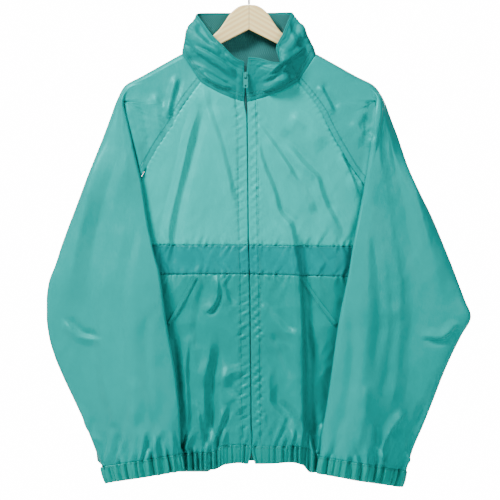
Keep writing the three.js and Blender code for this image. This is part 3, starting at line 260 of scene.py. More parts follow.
SLEEVE_CREASES = {
    "right": [
        trough(12, 2.2, (128, 118), (112, 170), (96, 230), (84, 290)),
        ridge(14, 2.6, (104, 130), (92, 185), (76, 250), (66, 310)),
        trough(9, 2.0, (140, 215), (128, 265), (120, 320), (124, 380)),
        ridge(10, 2.2, (112, 250), (100, 310), (104, 370), (118, 430)),
        fold(6, 2.2, (62, 318), (82, 336), (104, 340)),
        fold(6, 2.0, (80, 400), (90, 428), (102, 446)),
        trough(8, 1.8, (150, 300), (146, 350), (152, 410), (160, 448)),
        ridge(8, 1.8, (132, 372), (134, 410), (142, 450)),
        trough(6, 1.8, (112, 420), (118, 440), (124, 458)),
        fold(5, 1.8, (134, 96), (141, 120), (146, 150)),
        fold(4, 2.2, (178, 72), (171, 100), (165, 126), steep=1.3),
        ridge(5, 3.2, (124, 88), (130, 118), (138, 150), (146, 196)),
        fold(4, 1.8, (156, 90), (158, 112), (162, 140), steep=1.6),
    ],
    "left": [
        trough(12, 2.2, (384, 118), (398, 170), (408, 230), (420, 290)),
        ridge(14, 2.6, (398, 130), (414, 190), (430, 250), (446, 305)),
        trough(9, 2.0, (366, 215), (378, 265), (380, 320), (372, 380)),
        ridge(10, 2.2, (392, 240), (400, 300), (396, 370), (382, 430)),
        fold(6, 2.2, (460, 322), (440, 338), (420, 336)),
        fold(6, 2.8, (408, 410), (392, 428), (382, 446), (378, 464)),
        trough(6, 2.0, (428, 396), (416, 430), (402, 462)),
        trough(8, 1.8, (350, 300), (352, 350), (346, 410), (340, 448)),
        ridge(8, 1.8, (366, 380), (362, 416), (356, 456)),
        fold(5, 1.8, (368, 96), (362, 120), (360, 150)),
        fold(5, 2.0, (352, 118), (360, 132), (376, 146), steep=1.8),
        ridge(5, 3.2, (381, 88), (377, 118), (370, 150), (362, 196)),
        fold(4, 1.8, (318, 82), (326, 98), (336, 118), steep=1.4),
    ],
}

COLLAR_CREASES = [
    fold(4, 2.4, (193, 46), (206, 52), (222, 62), (240, 74)),
    trough(4, 2.0, (190, 56), (205, 64), (222, 74), (238, 84)),
    ridge(5, 2.2, (196, 34), (208, 44), (222, 54)),
    fold(4, 2.0, (203, 72), (216, 80), (232, 88)),
    fold(4, 2.6, (308, 44), (298, 52), (284, 62), (268, 76)),
    trough(4, 2.2, (304, 60), (292, 66), (278, 76), (262, 86)),
    ridge(5, 2.2, (300, 32), (292, 44), (282, 56)),
    fold(4, 2.2, (298, 76), (282, 82), (262, 92)),
    trough(5, 2.0, (199, 20), (206, 36), (214, 48)),
    trough(5, 2.0, (294, 18), (296, 34), (304, 50)),
]

# Helpers


def mix(a, b, t):
    return a + (b - a) * t


def smooth(low, high, value):
    t = np.clip((value - low) / (high - low), 0, 1)
    return t * t * (3 - 2 * t)


def ramp(value, low, high):
    return np.clip((value - low) / (high - low), 0, 1)


def bell(distance, width, power=2):
    """One at no distance, falling away within about the width."""
    return np.exp(-(distance / width) ** power)


def ripples(s, pitch, drift=0.0):
    return np.sin(2 * np.pi * s / pitch + drift)


def points_of(x, y, z):
    return np.stack(np.broadcast_arrays(x, y, z), axis=-1)


def read(keys, values, at):
    """Reads values of a table whose keys rise, smoothly between its rows."""
    keys = np.asarray(keys, float)
    values = np.asarray(values, float)
    at = np.asarray(at, float)
    flat = np.clip(at.ravel(), keys[0], keys[-1])
    extra = (1,) * (values.ndim - 1)
    step = np.diff(keys)
    rise = np.diff(values, axis=0) / step.reshape(-1, *extra)
    before, after = rise[:-1], rise[1:]
    total = np.where(np.abs(before + after) < 1e-12, 1, before + after)
    inner = np.where(before * after <= 0, 0, 2 * before * after / total)
    slope = np.concatenate([rise[:1], inner, rise[-1:]])
    i = np.clip(np.searchsorted(keys, flat, side="left") - 1, 0, len(keys) - 2)
    width = step[i].reshape(-1, *extra)
    t = ((flat - keys[i]) / step[i]).reshape(-1, *extra)
    result = ((2 * t**3 - 3 * t**2 + 1) * values[i] + (t**3 - 2 * t**2 + t) * width * slope[i]
              + (3 * t**2 - 2 * t**3) * values[i + 1] + (t**3 - t**2) * width * slope[i + 1])
    return result.reshape(at.shape + values.shape[1:])


def table_read(table, key, column, at):
    return read(table[key], table[column], at)


def a_at(table, z):
    """Distance from the middle that a table gives at a height."""
    return read(table["z"], table["a"], z)


def noise(x, y, seed):
    """Smooth noise from -1 to 1 with one wave for each unit."""
    lattice = np.random.RandomState(seed).uniform(-1, 1, (64, 64))
    x, y = np.broadcast_arrays(np.asarray(x, float), np.asarray(y, float))
    xi = np.floor(x).astype(int)
    yi = np.floor(y).astype(int)
    fx = smooth(0, 1, x - xi)
    fy = smooth(0, 1, y - yi)
    a = lattice[xi % 64, yi % 64]
    b = lattice[(xi + 1) % 64, yi % 64]
    c = lattice[xi % 64, (yi + 1) % 64]
    d = lattice[(xi + 1) % 64, (yi + 1) % 64]
    return mix(mix(a, b, fx), mix(c, d, fx), fy)


def from_picture(path):
    """Turns places in picture steps into X and Z."""
    return [((u - PICTURE_MIDDLE) * PICTURE_STEP, PICTURE_TOP_Z - PICTURE_STEP * v) for u, v in path]


def smooth_path(path, each=5):
    """A path with more points, rounded by a curve through its own."""
    points = np.asarray(path, float)
    if len(points) < 3:
        return points
    keys = np.arange(len(points))
    return read(keys, points, np.linspace(0, len(points) - 1, each * (len(points) - 1) + 1))


def path_distance(path, x, z):
    """Distance from a path, the side it lies on, and the share of the way along it."""
    lengths = np.hypot(*np.diff(path, axis=0).T)
    total = lengths.sum()
    best = np.full(np.shape(x), 1e9)
    side = np.zeros(np.shape(x))
    share = np.zeros(np.shape(x))
    run = 0.0
    for p, q, length in zip(path[:-1], path[1:], lengths):
        dx, dz = (q - p) / length
        along = (x - p[0]) * dx + (z - p[1]) * dz
        t = np.clip(along, 0, length)
        distance = np.hypot(x - p[0] - t * dx, z - p[1] - t * dz)
        closer = distance < best
        best = np.where(closer, distance, best)
        side = np.where(closer, (x - p[0]) * dz - (z - p[1]) * dx, side)
        share = np.where(closer, (run + t) / total, share)
        run += length
    return best, np.sign(side), share


CREASE_LIFT = 2.4


def crease_height(creases, x, z, seed=3):
    """Height of a list of creases, tapered at both ends and uneven along the way."""
    height = np.zeros(np.shape(x))
    for number, (form, width, rise, places, steep) in enumerate(creases):
        path = smooth_path(from_picture(places))
        distance, side, share = path_distance(path, x, z)
        taper = smooth(0, 0.25, share) * smooth(0, 0.25, 1 - share)
        uneven = 1 + 0.35 * noise(share * 6, number * 3.7, seed)
        h = CREASE_LIFT * rise * taper * uneven
        right = path[-1][1] < path[0][1]
        s = distance * np.where((side > 0) == right, -1, 1) / (width * (0.8 + 0.35 * uneven))
        if form == "fold":
            lip = ramp(s, -2.1, -0.12) - 1.55 * ramp(s, 0.0, steep)
            height += h * (lip + 0.55 * ramp(s, steep + 0.3, steep + 1.8))
        else:
            up = 1 if form == "ridge" else -1
            wider = 1.9 if number % 2 else 1.3
            slope = np.where(s > 0, s / wider, -s / (3.2 - wider))
            height += up * h * (1 - ramp(slope, 0.0, 1.0))
    return height


def crumple(x, z, seed):
    """Sharp low ridges between smooth facets, from -1 to 1."""
    wide = 1 - 2 * np.abs(noise((x + 0.35 * z) / 44, z / 82, seed))
    fine = 1 - 2 * np.abs(noise((x - 0.5 * z) / 23, (z + 0.3 * x) / 41, seed + 1))
    return 0.65 * wide + 0.35 * fine


def radiating(along, up, length, spacing, reach, height, seed):
    """Uneven folds that rise from a gathered seam, widen and fade."""
    random = np.random.RandomState(seed)
    result = np.zeros(np.broadcast(along, up).shape)
    place = spacing * random.uniform(0.2, 0.8)
    while place < length:
        rise = reach * random.uniform(0.35, 1.5)
        slant = random.uniform(-0.5, 0.5)
        width = spacing * random.uniform(0.2, 0.34)
        size = height * random.uniform(0.4, 1.2)
        s = (along - place - slant * up) / (width * (1 + up / (0.7 * rise)))
        ridge = 1 - ramp(np.abs(s), 0.0, 1.7)
        valley = 1 - ramp(np.abs(s - 1.6), 0.0, 1.2)
        result = result + size * (ridge - 0.7 * valley) * bell(up, rise, 1.3)
        place += spacing * random.uniform(0.5, 1.6)
    return result


def pinched(along, v, length, spacing, seed):
    """Narrow pinches with rounded panels between them, from -1 to 0, along an elastic band."""
    random = np.random.RandomState(seed)
    result = np.zeros(np.broadcast(along, v).shape)
    place = spacing * random.uniform(0.2, 0.8)
    while place < length:
        slant = random.uniform(-2.5, 2.5)
        width = random.uniform(0.9, 2.6)
        size = random.uniform(0.25, 1.0)
        s = np.abs(along - place - slant * v) / width
        result = np.minimum(result, -size * np.exp(-s))
        place += spacing * random.uniform(0.35, 1.9)
    return result


# Form of the body

SHOULDER_SLOPE = (NECK_Z - CORNER_Z) / (CORNER_A - NECK_A)
SHOULDER_COS = 1 / math.hypot(1, SHOULDER_SLOPE)


def shoulder_line(a):
    return NECK_Z - SHOULDER_SLOPE * (a - NECK_A)


def half_width(z):
    return table_read(FORM, "z", "half_width", z)


def body_depth(x, z, column):
    a = np.abs(x)
    rounding = np.maximum(0, 1 - (a / half_width(z)) ** 2.5)
    full = table_read(FORM, "z", column, z) * np.sqrt(rounding)
    below = np.maximum(0, shoulder_line(a) - z) * SHOULDER_COS
    over = OVER_HANGER * np.sqrt(np.minimum(1, below / 7))
    return mix(over, full, smooth(0, 105, below))


def fold_height(x, z):
    height = np.zeros(np.broadcast(x, z).shape)
    for width, rise, path in LARGE_FOLDS:
        distance, _, _ = path_distance(np.asarray(path, float), x, z)
        height = height + rise * bell(distance, width)
    a = np.abs(x)
    return height * smooth(12, 38, a) * (1 - smooth(150, 185, a))


def front_y(x, z):
    return -body_depth(x, z, "front") - fold_height(x, z)


def back_y(x, z):
    return body_depth(x, z, "back")


def zip_middle(z):
    return table_read(ZIP, "z", "x", z)


def zip_edge_x(side, z):
    return zip_middle(z) + SIDES[side] * table_read(ZIP, "z", "gap", z)


def band_top_z(side):
    return BAND_TOP - 3 if side == "left" else BAND_TOP


def band_bottom_z(side):
    return BAND_BOTTOM - 6 if side == "left" else BAND_BOTTOM - 1


def hem_read(table, side, a):
    return table_read(table[side], "a", "z", np.maximum(0, a))


# Meshes


def unit(v):
    return v / np.maximum(1e-9, np.linalg.norm(v, axis=-1, keepdims=True))


def normals_of(points, wrap=False):
    """Normals of a grid, one for each point."""
    down, along = np.gradient(points, axis=(0, 1))
    if wrap:
        along = np.roll(points, -1, axis=1) - np.roll(points, 1, axis=1)
    return unit(np.cross(along, down))


def outward_normals(points, facing, wrap=False):
    """Normals of a grid turned so that most agree with the direction or array given."""
    normal = normals_of(points, wrap)
    return normal if np.sum(normal * facing) >= 0 else -normal


def edge_distances(points):
    """Distance in millimetres of each grid point from the grid's four edges."""
    across = np.linalg.norm(np.diff(points, axis=1), axis=2)
    down = np.linalg.norm(np.diff(points, axis=0), axis=2)
    first = np.concatenate([np.zeros((points.shape[0], 1)), np.cumsum(across, axis=1)], axis=1)
    top = np.concatenate([np.zeros((1, points.shape[1])), np.cumsum(down, axis=0)], axis=0)
    return {"from_first": first, "from_last": first[:, -1:] - first,
            "from_top": top, "from_bottom": top[-1:] - top}


def add_object(name, data):
    obj = bpy.data.objects.new(name, data)
    bpy.context.scene.collection.objects.link(obj)
    return obj


def make_mesh(name, vertices, quads, attributes, material):
    mesh = bpy.data.meshes.new(name)
    vertices = np.asarray(vertices, float) / 1000
    quads = np.asarray(quads, int)
    mesh.vertices.add(len(vertices))
    mesh.vertices.foreach_set("co", vertices.ravel())
    mesh.loops.add(quads.size)
    mesh.loops.foreach_set("vertex_index", quads.ravel())
    mesh.polygons.add(len(quads))
    mesh.polygons.foreach_set("loop_start", np.arange(len(quads)) * 4)
    mesh.polygons.foreach_set("use_smooth", np.full(len(quads), True))
    for key, values in attributes.items():
        layer = mesh.attributes.new(key, "FLOAT", "POINT")
        layer.data.foreach_set("value", np.asarray(values, float).ravel())
    mesh.update()
    mesh.validate()
    mesh.materials.append(material)
    return add_object(name, mesh)


def grid_quads(rows, columns, wrap=False, start=0, turned=False):
    i, j = np.meshgrid(np.arange(rows - 1), np.arange(columns if wrap else columns - 1), indexing="ij")
    a = i * columns + j
    b = i * columns + (j + 1) % columns
    quads = np.stack([a, b, b + columns, a + columns], axis=-1).reshape(-1, 4) + start
    return quads[:, ::-1] if turned else quads


def sheet_object(name, points, normal, material, extra=None):
    """A single layer of cloth whose edges are turned in or hidden."""
    attributes = {**edge_distances(points), **(extra or {})}
    turned = np.sum(normals_of(points) * normal) < 0
    quads = grid_quads(*points.shape[:2], turned=turned)
    return make_mesh(name, points.reshape(-1, 3), quads, attributes, material)


def shell_object(name, points, normal, thickness, material, wrap=False):
    """A wall with rounded free edges round a grid of middle points."""
    rows, columns = points.shape[:2]
    half = thickness / 2
    grown = points
    if not wrap:
        left = points[:, :1] + half * unit(points[:, :1] - points[:, 1:2])
        right = points[:, -1:] + half * unit(points[:, -1:] - points[:, -2:-1])
        grown = np.concatenate([left, points, right], axis=1)
    top = grown[:1] + half * unit(grown[:1] - grown[1:2])
    bottom = grown[-1:] + half * unit(grown[-1:] - grown[-2:-1])
    grown = np.concatenate([top, grown, bottom], axis=0)
    pad_columns = (0, 0) if wrap else (1, 1)
    thick = np.pad(np.full((rows, columns), half), ((1, 1), pad_columns))
    spread = np.pad(normal, ((1, 1), pad_columns, (0, 0)), mode="edge")
    outer = grown + spread * thick[..., None]
    inner = grown - spread * thick[..., None]
    turned = np.sum(normals_of(grown, wrap) * spread) < 0
    rows, columns = grown.shape[:2]
    outer_quads = grid_quads(rows, columns, wrap, 0, turned)
    inner_quads = grid_quads(rows, columns, wrap, rows * columns, not turned)
    vertices = np.concatenate([outer.reshape(-1, 3), inner.reshape(-1, 3)])
    doubled = {key: np.concatenate([v.ravel(), v.ravel()]) for key, v in edge_distances(grown).items()}
    obj = make_mesh(name, vertices, np.concatenate([outer_quads, inner_quads]), doubled, material)
    weld = obj.modifiers.new("weld", "WELD")
    weld.merge_threshold = 1e-6
    bpy.context.view_layer.update()
    evaluated = obj.evaluated_get(bpy.context.evaluated_depsgraph_get())
    mesh = bpy.data.meshes.new_from_object(evaluated)
    obj.modifiers.clear()
    obj.data = mesh
    return obj


EDGES = {"first": (1, False), "last": (1, True), "top": (0, False), "bottom": (0, True)}
TUCK_DEPTH = 2.6
TUCK_REACH = 0.5


def tucked(points, normal, edges):
    """Adds a turned-in strip along the named edges of a grid, in the order of EDGES."""
    for edge, (axis, at_end) in EDGES.items():
        if edge not in edges:
            continue
        own, next_in = ([-1], [-2]) if at_end else ([0], [1])
        rim, inner = points.take(own, axis), points.take(next_in, axis)
        out = normal.take(own, axis)
        strip = rim + TUCK_REACH * unit(rim - inner) - TUCK_DEPTH * out
        points = np.concatenate([points, strip] if at_end else [strip, points], axis)
        normal = np.concatenate([normal, out] if at_end else [out, normal], axis)
    return points, normal


def lengths_along(line):
    """Length of a line of points up to each of them."""
    return np.concatenate([[0], np.cumsum(np.linalg.norm(np.diff(line, axis=0), axis=1))])


def interpolated(at, lengths, values):
    """Rows of values read at lengths along them."""
    return np.stack([np.interp(at, lengths, column) for column in values.T], axis=-1)


def resampled(points, count, closed=False):
    """Points at even steps along a line of points."""
    loop = np.concatenate([points, points[:1]]) if closed else points
    lengths = lengths_along(loop)
    want = np.linspace(0, lengths[-1], count + 1)[:-1] if closed else np.linspace(0, lengths[-1], count)
    return interpolated(want, lengths, loop)


# Materials


def linear(red, green, blue):
    """Colour from the 0 to 255 values of a screen."""
    parts = []
    for value in (red, green, blue):
        v = value / 255
        parts.append(v / 12.92 if v <= 0.04045 else ((v + 0.055) / 1.055) ** 2.4)
    return (*parts, 1.0)


def new_material(name):
    material = bpy.data.materials.new(name)
    material.use_nodes = True
    tree = material.node_tree
    shader = next(n for n in tree.nodes if n.type == "BSDF_PRINCIPLED")
    return material, tree, shader


def add_node(tree, kind, **values):
    made = tree.nodes.new(kind)
    for key, value in values.items():
        setattr(made, key, value)
    return made


def link(tree, source, target):
    tree.links.new(source, target)


def set_inputs(node, **values):
    """Sets a node's own sockets, named with _ for each space."""
    for key, value in values.items():
        node.inputs[key.replace("_", " ")].default_value = value


def maths(tree, operation, first, second=None, third=None):
    made = add_node(tree, "ShaderNodeMath", operation=operation)
    for k, value in enumerate((first, second, third)):
        if value is None:
            continue
        if isinstance(value, (int, float)):
            made.inputs[k].default_value = value
        else:
            link(tree, value, made.inputs[k])
    return made.outputs[0]


def times(tree, first, second):
    return maths(tree, "MULTIPLY", first, second)


def attribute(tree, name):
    return add_node(tree, "ShaderNodeAttribute", attribute_name=name).outputs["Fac"]


def mapped(tree, value, low, high, to_low, to_high):
    made = add_node(tree, "ShaderNodeMapRange", interpolation_type="SMOOTHSTEP")
    link(tree, value, made.inputs["Value"])
    set_inputs(made, From_Min=low, From_Max=high, To_Min=to_low, To_Max=to_high)
    return made.outputs["Result"]


def line_mask(tree, distance, offset, half):
    """One on a line at the offset, falling to zero within the half width."""
    away = maths(tree, "ABSOLUTE", maths(tree, "SUBTRACT", distance, offset))
    return mapped(tree, away, 0.0, half, 1.0, 0.0)


def noise_factor(tree, vector, scale, detail, roughness=0.5):
    made = add_node(tree, "ShaderNodeTexNoise")
    link(tree, vector, made.inputs["Vector"])
    set_inputs(made, Scale=scale, Detail=detail, Roughness=roughness)
    return made.outputs["Fac"]


def stretched(tree, vector, scale, turn=(0, 0, 0)):
    made = add_node(tree, "ShaderNodeMapping")
    link(tree, vector, made.inputs["Vector"])
    set_inputs(made, Scale=scale, Rotation=turn)
    return made.outputs["Vector"]


def mixed_colour(tree, factor, first, second):
    made = add_node(tree, "ShaderNodeMix", data_type="RGBA")
    for index, value in ((0, factor), (6, first), (7, second)):
        if isinstance(value, (int, float, tuple)):
            made.inputs[index].default_value = value
        else:
            link(tree, value, made.inputs[index])
    return made.outputs[2]


def bumped(tree, shader, heights):
    """Chains bumps: each entry is a height, its strength and its distance in metres."""
    normal = None
    for height, strength, distance in heights:
        made = add_node(tree, "ShaderNodeBump")
        set_inputs(made, Strength=strength, Distance=distance)
        link(tree, height, made.inputs["Height"])
        if normal is not None:
            link(tree, normal, made.inputs["Normal"])
        normal = made.outputs["Normal"]
    link(tree, normal, shader.inputs["Normal"])


def scaled_colour(colour, factor):
    return (colour[0] * factor, colour[1] * factor, colour[2] * factor, 1.0)


def shaded(tree, factor, colour, low, high):
    """A colour that runs from a darker to a brighter tone of itself."""
    return mixed_colour(tree, factor, scaled_colour(colour, low), scaled_colour(colour, high))


def wave_factor(tree, place, direction, **values):
    made = add_node(tree, "ShaderNodeTexWave", wave_type="BANDS", bands_direction=direction)
    link(tree, place, made.inputs["Vector"])
    set_inputs(made, **values)
    return made.outputs["Fac"]


def object_place(tree):
    return add_node(tree, "ShaderNodeTexCoord").outputs["Object"]


TONE_AND_SHEEN_RANGE = 0.09


def nylon(name, colour, stitches=(), crinkle=0.35, rough=0.4, grain="down"):
    """Shiny plain-woven nylon with a random streaky tone that is partly painted sheen, painted darker along
    stitch lines at distances from the piece's edges as painted shade in the sewn grooves.
    """
    material, tree, shader = new_material(name)
    place = object_place(tree)
    stretch = (1.0, 1.0, 0.45) if grain == "down" else (0.45, 1.0, 1.0)
    # Broad stretched noise gives a random streaky tone, which also stands in for the nylon's soft sheen
    # streaks as painted sheen.
    broad = noise_factor(tree, stretched(tree, place, stretch, (0.0, 0.35, 0.0)), 9.0, 3.0)
    fine = noise_factor(tree, stretched(tree, place, stretch), 85.0, 5.0, 0.6)
    tone = maths(tree, "MULTIPLY_ADD", broad, 2 * TONE_AND_SHEEN_RANGE, -TONE_AND_SHEEN_RANGE)
    tone = maths(tree, "MULTIPLY_ADD", fine, 0.06, maths(tree, "ADD", tone, -0.03))
    bright = shaded(tree, maths(tree, "ADD", tone, 0.5), colour, 0.6, 1.4)
    weave = wave_factor(tree, place, "X" if grain == "down" else "Z", Scale=420.0, Distortion=1.2, Detail=2.0)
    creases = noise_factor(tree, stretched(tree, place, stretch, (0.0, -0.4, 0.0)), 48.0, 6.0, 0.62)
    heights = [(creases, crinkle, 0.004), (weave, 0.12, 0.0003)]
    surface = bright
    seam = None
    for attribute_name, offset in stitches:
        distance = attribute(tree, attribute_name)
        stitch_shade = line_mask(tree, distance, offset, 1.1)
        seam = stitch_shade if seam is None else maths(tree, "MAXIMUM", seam, stitch_shade)
    if seam is not None:
        # Stitch lines are painted darker, as painted shade in the grooves along the stitching.
        surface = mixed_colour(tree, times(tree, seam, 0.35), bright, scaled_colour(colour, 0.45))
        heights.append((maths(tree, "SUBTRACT", 1.0, seam), 0.7, 0.0009))
    link(tree, surface, shader.inputs["Base Color"])
    gloss = maths(tree, "MULTIPLY_ADD", fine, 0.12, rough - 0.06)
    link(tree, gloss, shader.inputs["Roughness"])
    set_inputs(shader, Specular_IOR_Level=0.5, Specular_Tint=(0.08, 0.85, 0.8, 1.0), Sheen_Weight=0.06,
               Sheen_Roughness=0.4, Sheen_Tint=(0.2, 0.9, 0.85, 1.0))
    bumped(tree, shader, heights)
    return material


def ribbed_cloth(name, colour, pitch):
    """Matt cloth with fine upright ribs, painted lighter on the rib crests and darker in the hollows as
    painted light and shade.
    """
    material, tree, shader = new_material(name)
    place = object_place(tree)
    along = attribute(tree, "from_first")
    wave = maths(tree, "SINE", times(tree, along, 2 * math.pi / pitch))
    lift = maths(tree, "MULTIPLY_ADD", wave, 0.5, 0.5)
    fine = noise_factor(tree, place, 700.0, 3.0)
    # The colour follows the rib height: painted shade in the hollows and painted highlight on the crests.
    surface = shaded(tree, times(tree, lift, 0.6), colour, 0.75, 1.25)
    surface = mixed_colour(tree, times(tree, fine, 0.3), surface, scaled_colour(colour, 0.8))
    link(tree, surface, shader.inputs["Base Color"])
    set_inputs(shader, Roughness=0.7, Sheen_Weight=0.2, Specular_IOR_Level=0.3)
    bumped(tree, shader, [(lift, 0.6, 0.0008), (fine, 0.3, 0.0003)])
    return material


def pine(name):
    """Pale wood whose grain follows each arm, with a dark line where the arms meet."""
    material, tree, shader = new_material(name)
    place = object_place(tree)
    folded = add_node(tree, "ShaderNodeSeparateXYZ")
    link(tree, place, folded.inputs[0])
    across, height = maths(tree, "ABSOLUTE", folded.outputs["X"]), folded.outputs["Z"]
    lengthwise = maths(tree, "SUBTRACT", times(tree, across, 0.87), times(tree, height, 0.49))
    upright = maths(tree, "ADD", times(tree, across, 0.49), times(tree, height, 0.87))
    grain_place = add_node(tree, "ShaderNodeCombineXYZ")
    link(tree, times(tree, lengthwise, 0.09), grain_place.inputs[0])
    link(tree, folded.outputs["Y"], grain_place.inputs[1])
    link(tree, upright, grain_place.inputs[2])
    rings = wave_factor(tree, grain_place.outputs[0], "Z", Scale=42.0, Distortion=3.5, Detail=3.0,
                        Detail_Scale=1.4)
    pores = noise_factor(tree, grain_place.outputs[0], 900.0, 4.0)
    surface = mixed_colour(tree, times(tree, rings, 0.6), (1.0, 0.86, 0.42, 1), (0.8, 0.5, 0.17, 1))
    surface = mixed_colour(tree, times(tree, pores, 0.25), surface, (0.78, 0.48, 0.16, 1))
    surface = mixed_colour(tree, line_mask(tree, across, 0.0, 0.0011), surface, (0.5, 0.36, 0.2, 1))
    link(tree, surface, shader.inputs["Base Color"])
    set_inputs(shader, Roughness=0.42, Coat_Weight=0.1, Coat_Roughness=0.3)
    bumped(tree, shader, [(rings, 0.15, 0.0004), (pores, 0.12, 0.0002)])
    return material


def metal(name, colour, rough, metallic=1.0):
    """Hard material with fine wear, plastic where metallic is zero."""
    material, tree, shader = new_material(name)
    place = object_place(tree)
    wear = noise_factor(tree, place, 320.0, 5.0, 0.6)
    surface = shaded(tree, times(tree, wear, 0.5), colour, 1.0, 0.7)
    link(tree, surface, shader.inputs["Base Color"])
    link(tree, maths(tree, "MULTIPLY_ADD", wear, 0.2, rough - 0.1), shader.inputs["Roughness"])
    set_inputs(shader, Metallic=metallic)
    bumped(tree, shader, [(wear, 0.08, 0.0003)])
    return material


def stage_material(name):
    material, tree, shader = new_material(name)
    place = object_place(tree)
    faint = noise_factor(tree, place, 3.0, 2.0)
    surface = mixed_colour(tree, times(tree, faint, 0.3), (0.9, 0.9, 0.9, 1), (0.86, 0.86, 0.86, 1))
    link(tree, surface, shader.inputs["Base Color"])
    set_inputs(shader, Roughness=0.9, Specular_IOR_Level=0.1)
    return material


# Distances of the stitch lines from an edge

ZIP_STITCH = 17.5
SEAM_STITCH = 3.0
RAGLAN_STITCH = 9.0
POCKET_STITCH = 1.4
COLLAR_STITCHES = (8.0, 14.0)

FRONT_TEAL = linear(0, 131, 125)
ZIP_LINE = ("from_first", ZIP_STITCH)
TOP_LINE = ("from_top", SEAM_STITCH)
BOTTOM_LINE = ("from_bottom", SEAM_STITCH)
# The yoke is painted lighter than the lower fronts, as painted light falling from above.
TOP_LIT_YOKE_CLOTH = nylon("yoke_nylon_painted_lit", linear(0, 168, 160), [ZIP_LINE])
LOWER_CLOTH = nylon("lower_nylon", FRONT_TEAL, [ZIP_LINE])
BAND_CLOTH = nylon("band_nylon_look", linear(0, 124, 123), [TOP_LINE, BOTTOM_LINE, ZIP_LINE], 0.3,
                   grain="across")
SLEEVE_CLOTH = nylon("sleeve_nylon", linear(0, 144, 138), [("seam_distance", RAGLAN_STITCH)])
BACK_CLOTH = nylon("back_nylon", FRONT_TEAL)
HEM_CLOTH = nylon("hem_nylon", linear(0, 126, 118), [TOP_LINE], 0.4)
CUFF_CLOTH = nylon("cuff_nylon", linear(0, 138, 128), [TOP_LINE], 0.4)
COLLAR_CLOTH = nylon("collar_nylon", linear(0, 114, 110),
                     [BOTTOM_LINE] + [("from_top", offset) for offset in COLLAR_STITCHES], 0.5, 0.52)
POCKET_CLOTH = nylon("pocket_nylon", FRONT_TEAL, [("from_last", POCKET_STITCH)])
LINING_CLOTH = ribbed_cloth("ribbed_lining", linear(16, 106, 104), 3.4)
TAPE_CLOTH = ribbed_cloth("woven_tape", linear(40, 118, 115), 1.6)
ZIP_PLASTIC = metal("dark_teal_plastic", linear(22, 84, 84), 0.42, 0.0)
ZIP_METAL = metal("teal_enamel", linear(14, 146, 140), 0.35, 0.1)
THREAD = metal("sewing_thread", linear(0, 126, 120), 0.6, 0.0)
PINE = pine("pale_pine")
STEEL = metal("plated_steel", (0.72, 0.73, 0.74, 1.0), 0.22)


def finish_piece(obj, node):
    """Gives a piece its body and hides the node that it stands for."""
    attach(obj, BODY)
    if node:
        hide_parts(node)


ALL_EDGES = ("first", "last", "top", "bottom")
ENDS = ("top", "bottom")


def cloth_sheet(name, node, points, normal, material, edges=ALL_EDGES, extra=None):
    """Makes a layer of cloth that hangs, with the named edges turned in, and gives it its body."""
    grid, normal = tucked(points, normal, edges)
    finish_piece(sheet_object(name, grid, normal, material, extra), node)


# Fronts


def share_columns(count):
    s = np.linspace(0, 1, count + 1)
    return 0.55 * s + 0.45 * np.sin(np.pi / 2 * s)


FRONT_COLUMNS = 116


def shown_front(side, x, z):
    """One where a front shows, falling to zero under the sleeve."""
    edge = a_at(FOLD_EDGE[side], z)
    a = np.abs(x)
    return 1 - smooth(edge - 2, edge + 22, a)


def zip_puckers(side, x, z):
    """Slanting ripples along both sides of the zip."""
    d = np.abs(x - zip_middle(z))
    strength = 0.35 + 0.55 * smooth(-530, -580, z) * (1 - smooth(-760, -800, z)) + 0.2 * (z > -470)
    drift = noise(z / 42, SIDES[side] * 5.3, 8) * 2.2
    slope = 0.75 if side == "right" else -0.9
    strength = strength * (1 if side == "right" else 1.15)
    wave = ripples(z + slope * d, 15.5, drift) + 0.5 * ripples(z + 0.4 * d, 8.3, 2 * drift)
    amount = bell(d - 12, 9.5) * (0.6 + 0.4 * noise(z / 25, d / 18, 31))
    return strength * (wave * amount) - 0.7 * bell(d - ZIP_STITCH, 1.8)


BAND_LENGTH = 216
HEM_LENGTH = 215


def band_puckers(side, x, z):
    """Gathers above and below the band's two seams."""
    a = np.abs(x)
    u = np.clip(a / BAND_LENGTH, 0, 1)
    height = np.zeros_like(x)
    for seam_zip, seam_side in ((BAND_TOP, band_top_z(side)), (BAND_BOTTOM, band_bottom_z(side))):
        d = np.abs(z - mix(seam_zip, seam_side, u))
        wave = ripples(x, 11.5, 3.4 * noise(x / 30, seam_zip / 9, 5))
        wave = wave + 0.6 * ripples(x, 6.1, 3 * noise(x / 21, seam_zip / 7, 6))
        height = height + 0.55 * wave * bell(d, 8, 1.4) * (0.6 + 0.5 * noise(x / 34, d / 20, 12))
        height = height + 0.8 * radiating(a, d, HEM_LENGTH, 9, 16, 1.8, 27 + SIDES[side])
    return height


RAGLAN_LENGTH = 255


def raglan_puckers(side, x, z):
    """Small ripples that run across the raglan seam."""
    table = FRONT_SEAM[side]
    path = np.stack([SIDES[side] * np.asarray(table["a"], float), np.asarray(table["z"], float)], axis=1)
    distance, _, share = path_distance(smooth_path(path, 4), x, z)
    s = share * RAGLAN_LENGTH
    wave = ripples(s, 10.5, 2 * noise(s / 30, 0, 14)) + 0.5 * ripples(s, 5.9)
    return 0.5 * wave * bell(distance, 8, 1.5)


def hem_gathers(side, x, z, seam_z):
    """Upright ripples that rise from the elastic hem."""
    a = np.abs(x)
    up = np.maximum(0, z - seam_z)
    if side == "right":
        strength = 0.35 + 0.85 * smooth(38, 60, a)
    else:
        strength = 0.25 + 0.6 * smooth(48, 60, a) + 0.4 * smooth(95, 110, a)
    return strength * radiating(a, up, HEM_LENGTH, 10.5, 36, 8.5, 17 + SIDES[side])


def soft_unevenness(x, z):
    return (1.5 * noise(x / 46 + z / 160, z / 85, 21) + 0.6 * noise(x / 17 + z / 60, z / 34, 22)
            + 0.25 * noise(x / 7.5, z / 13, 23))


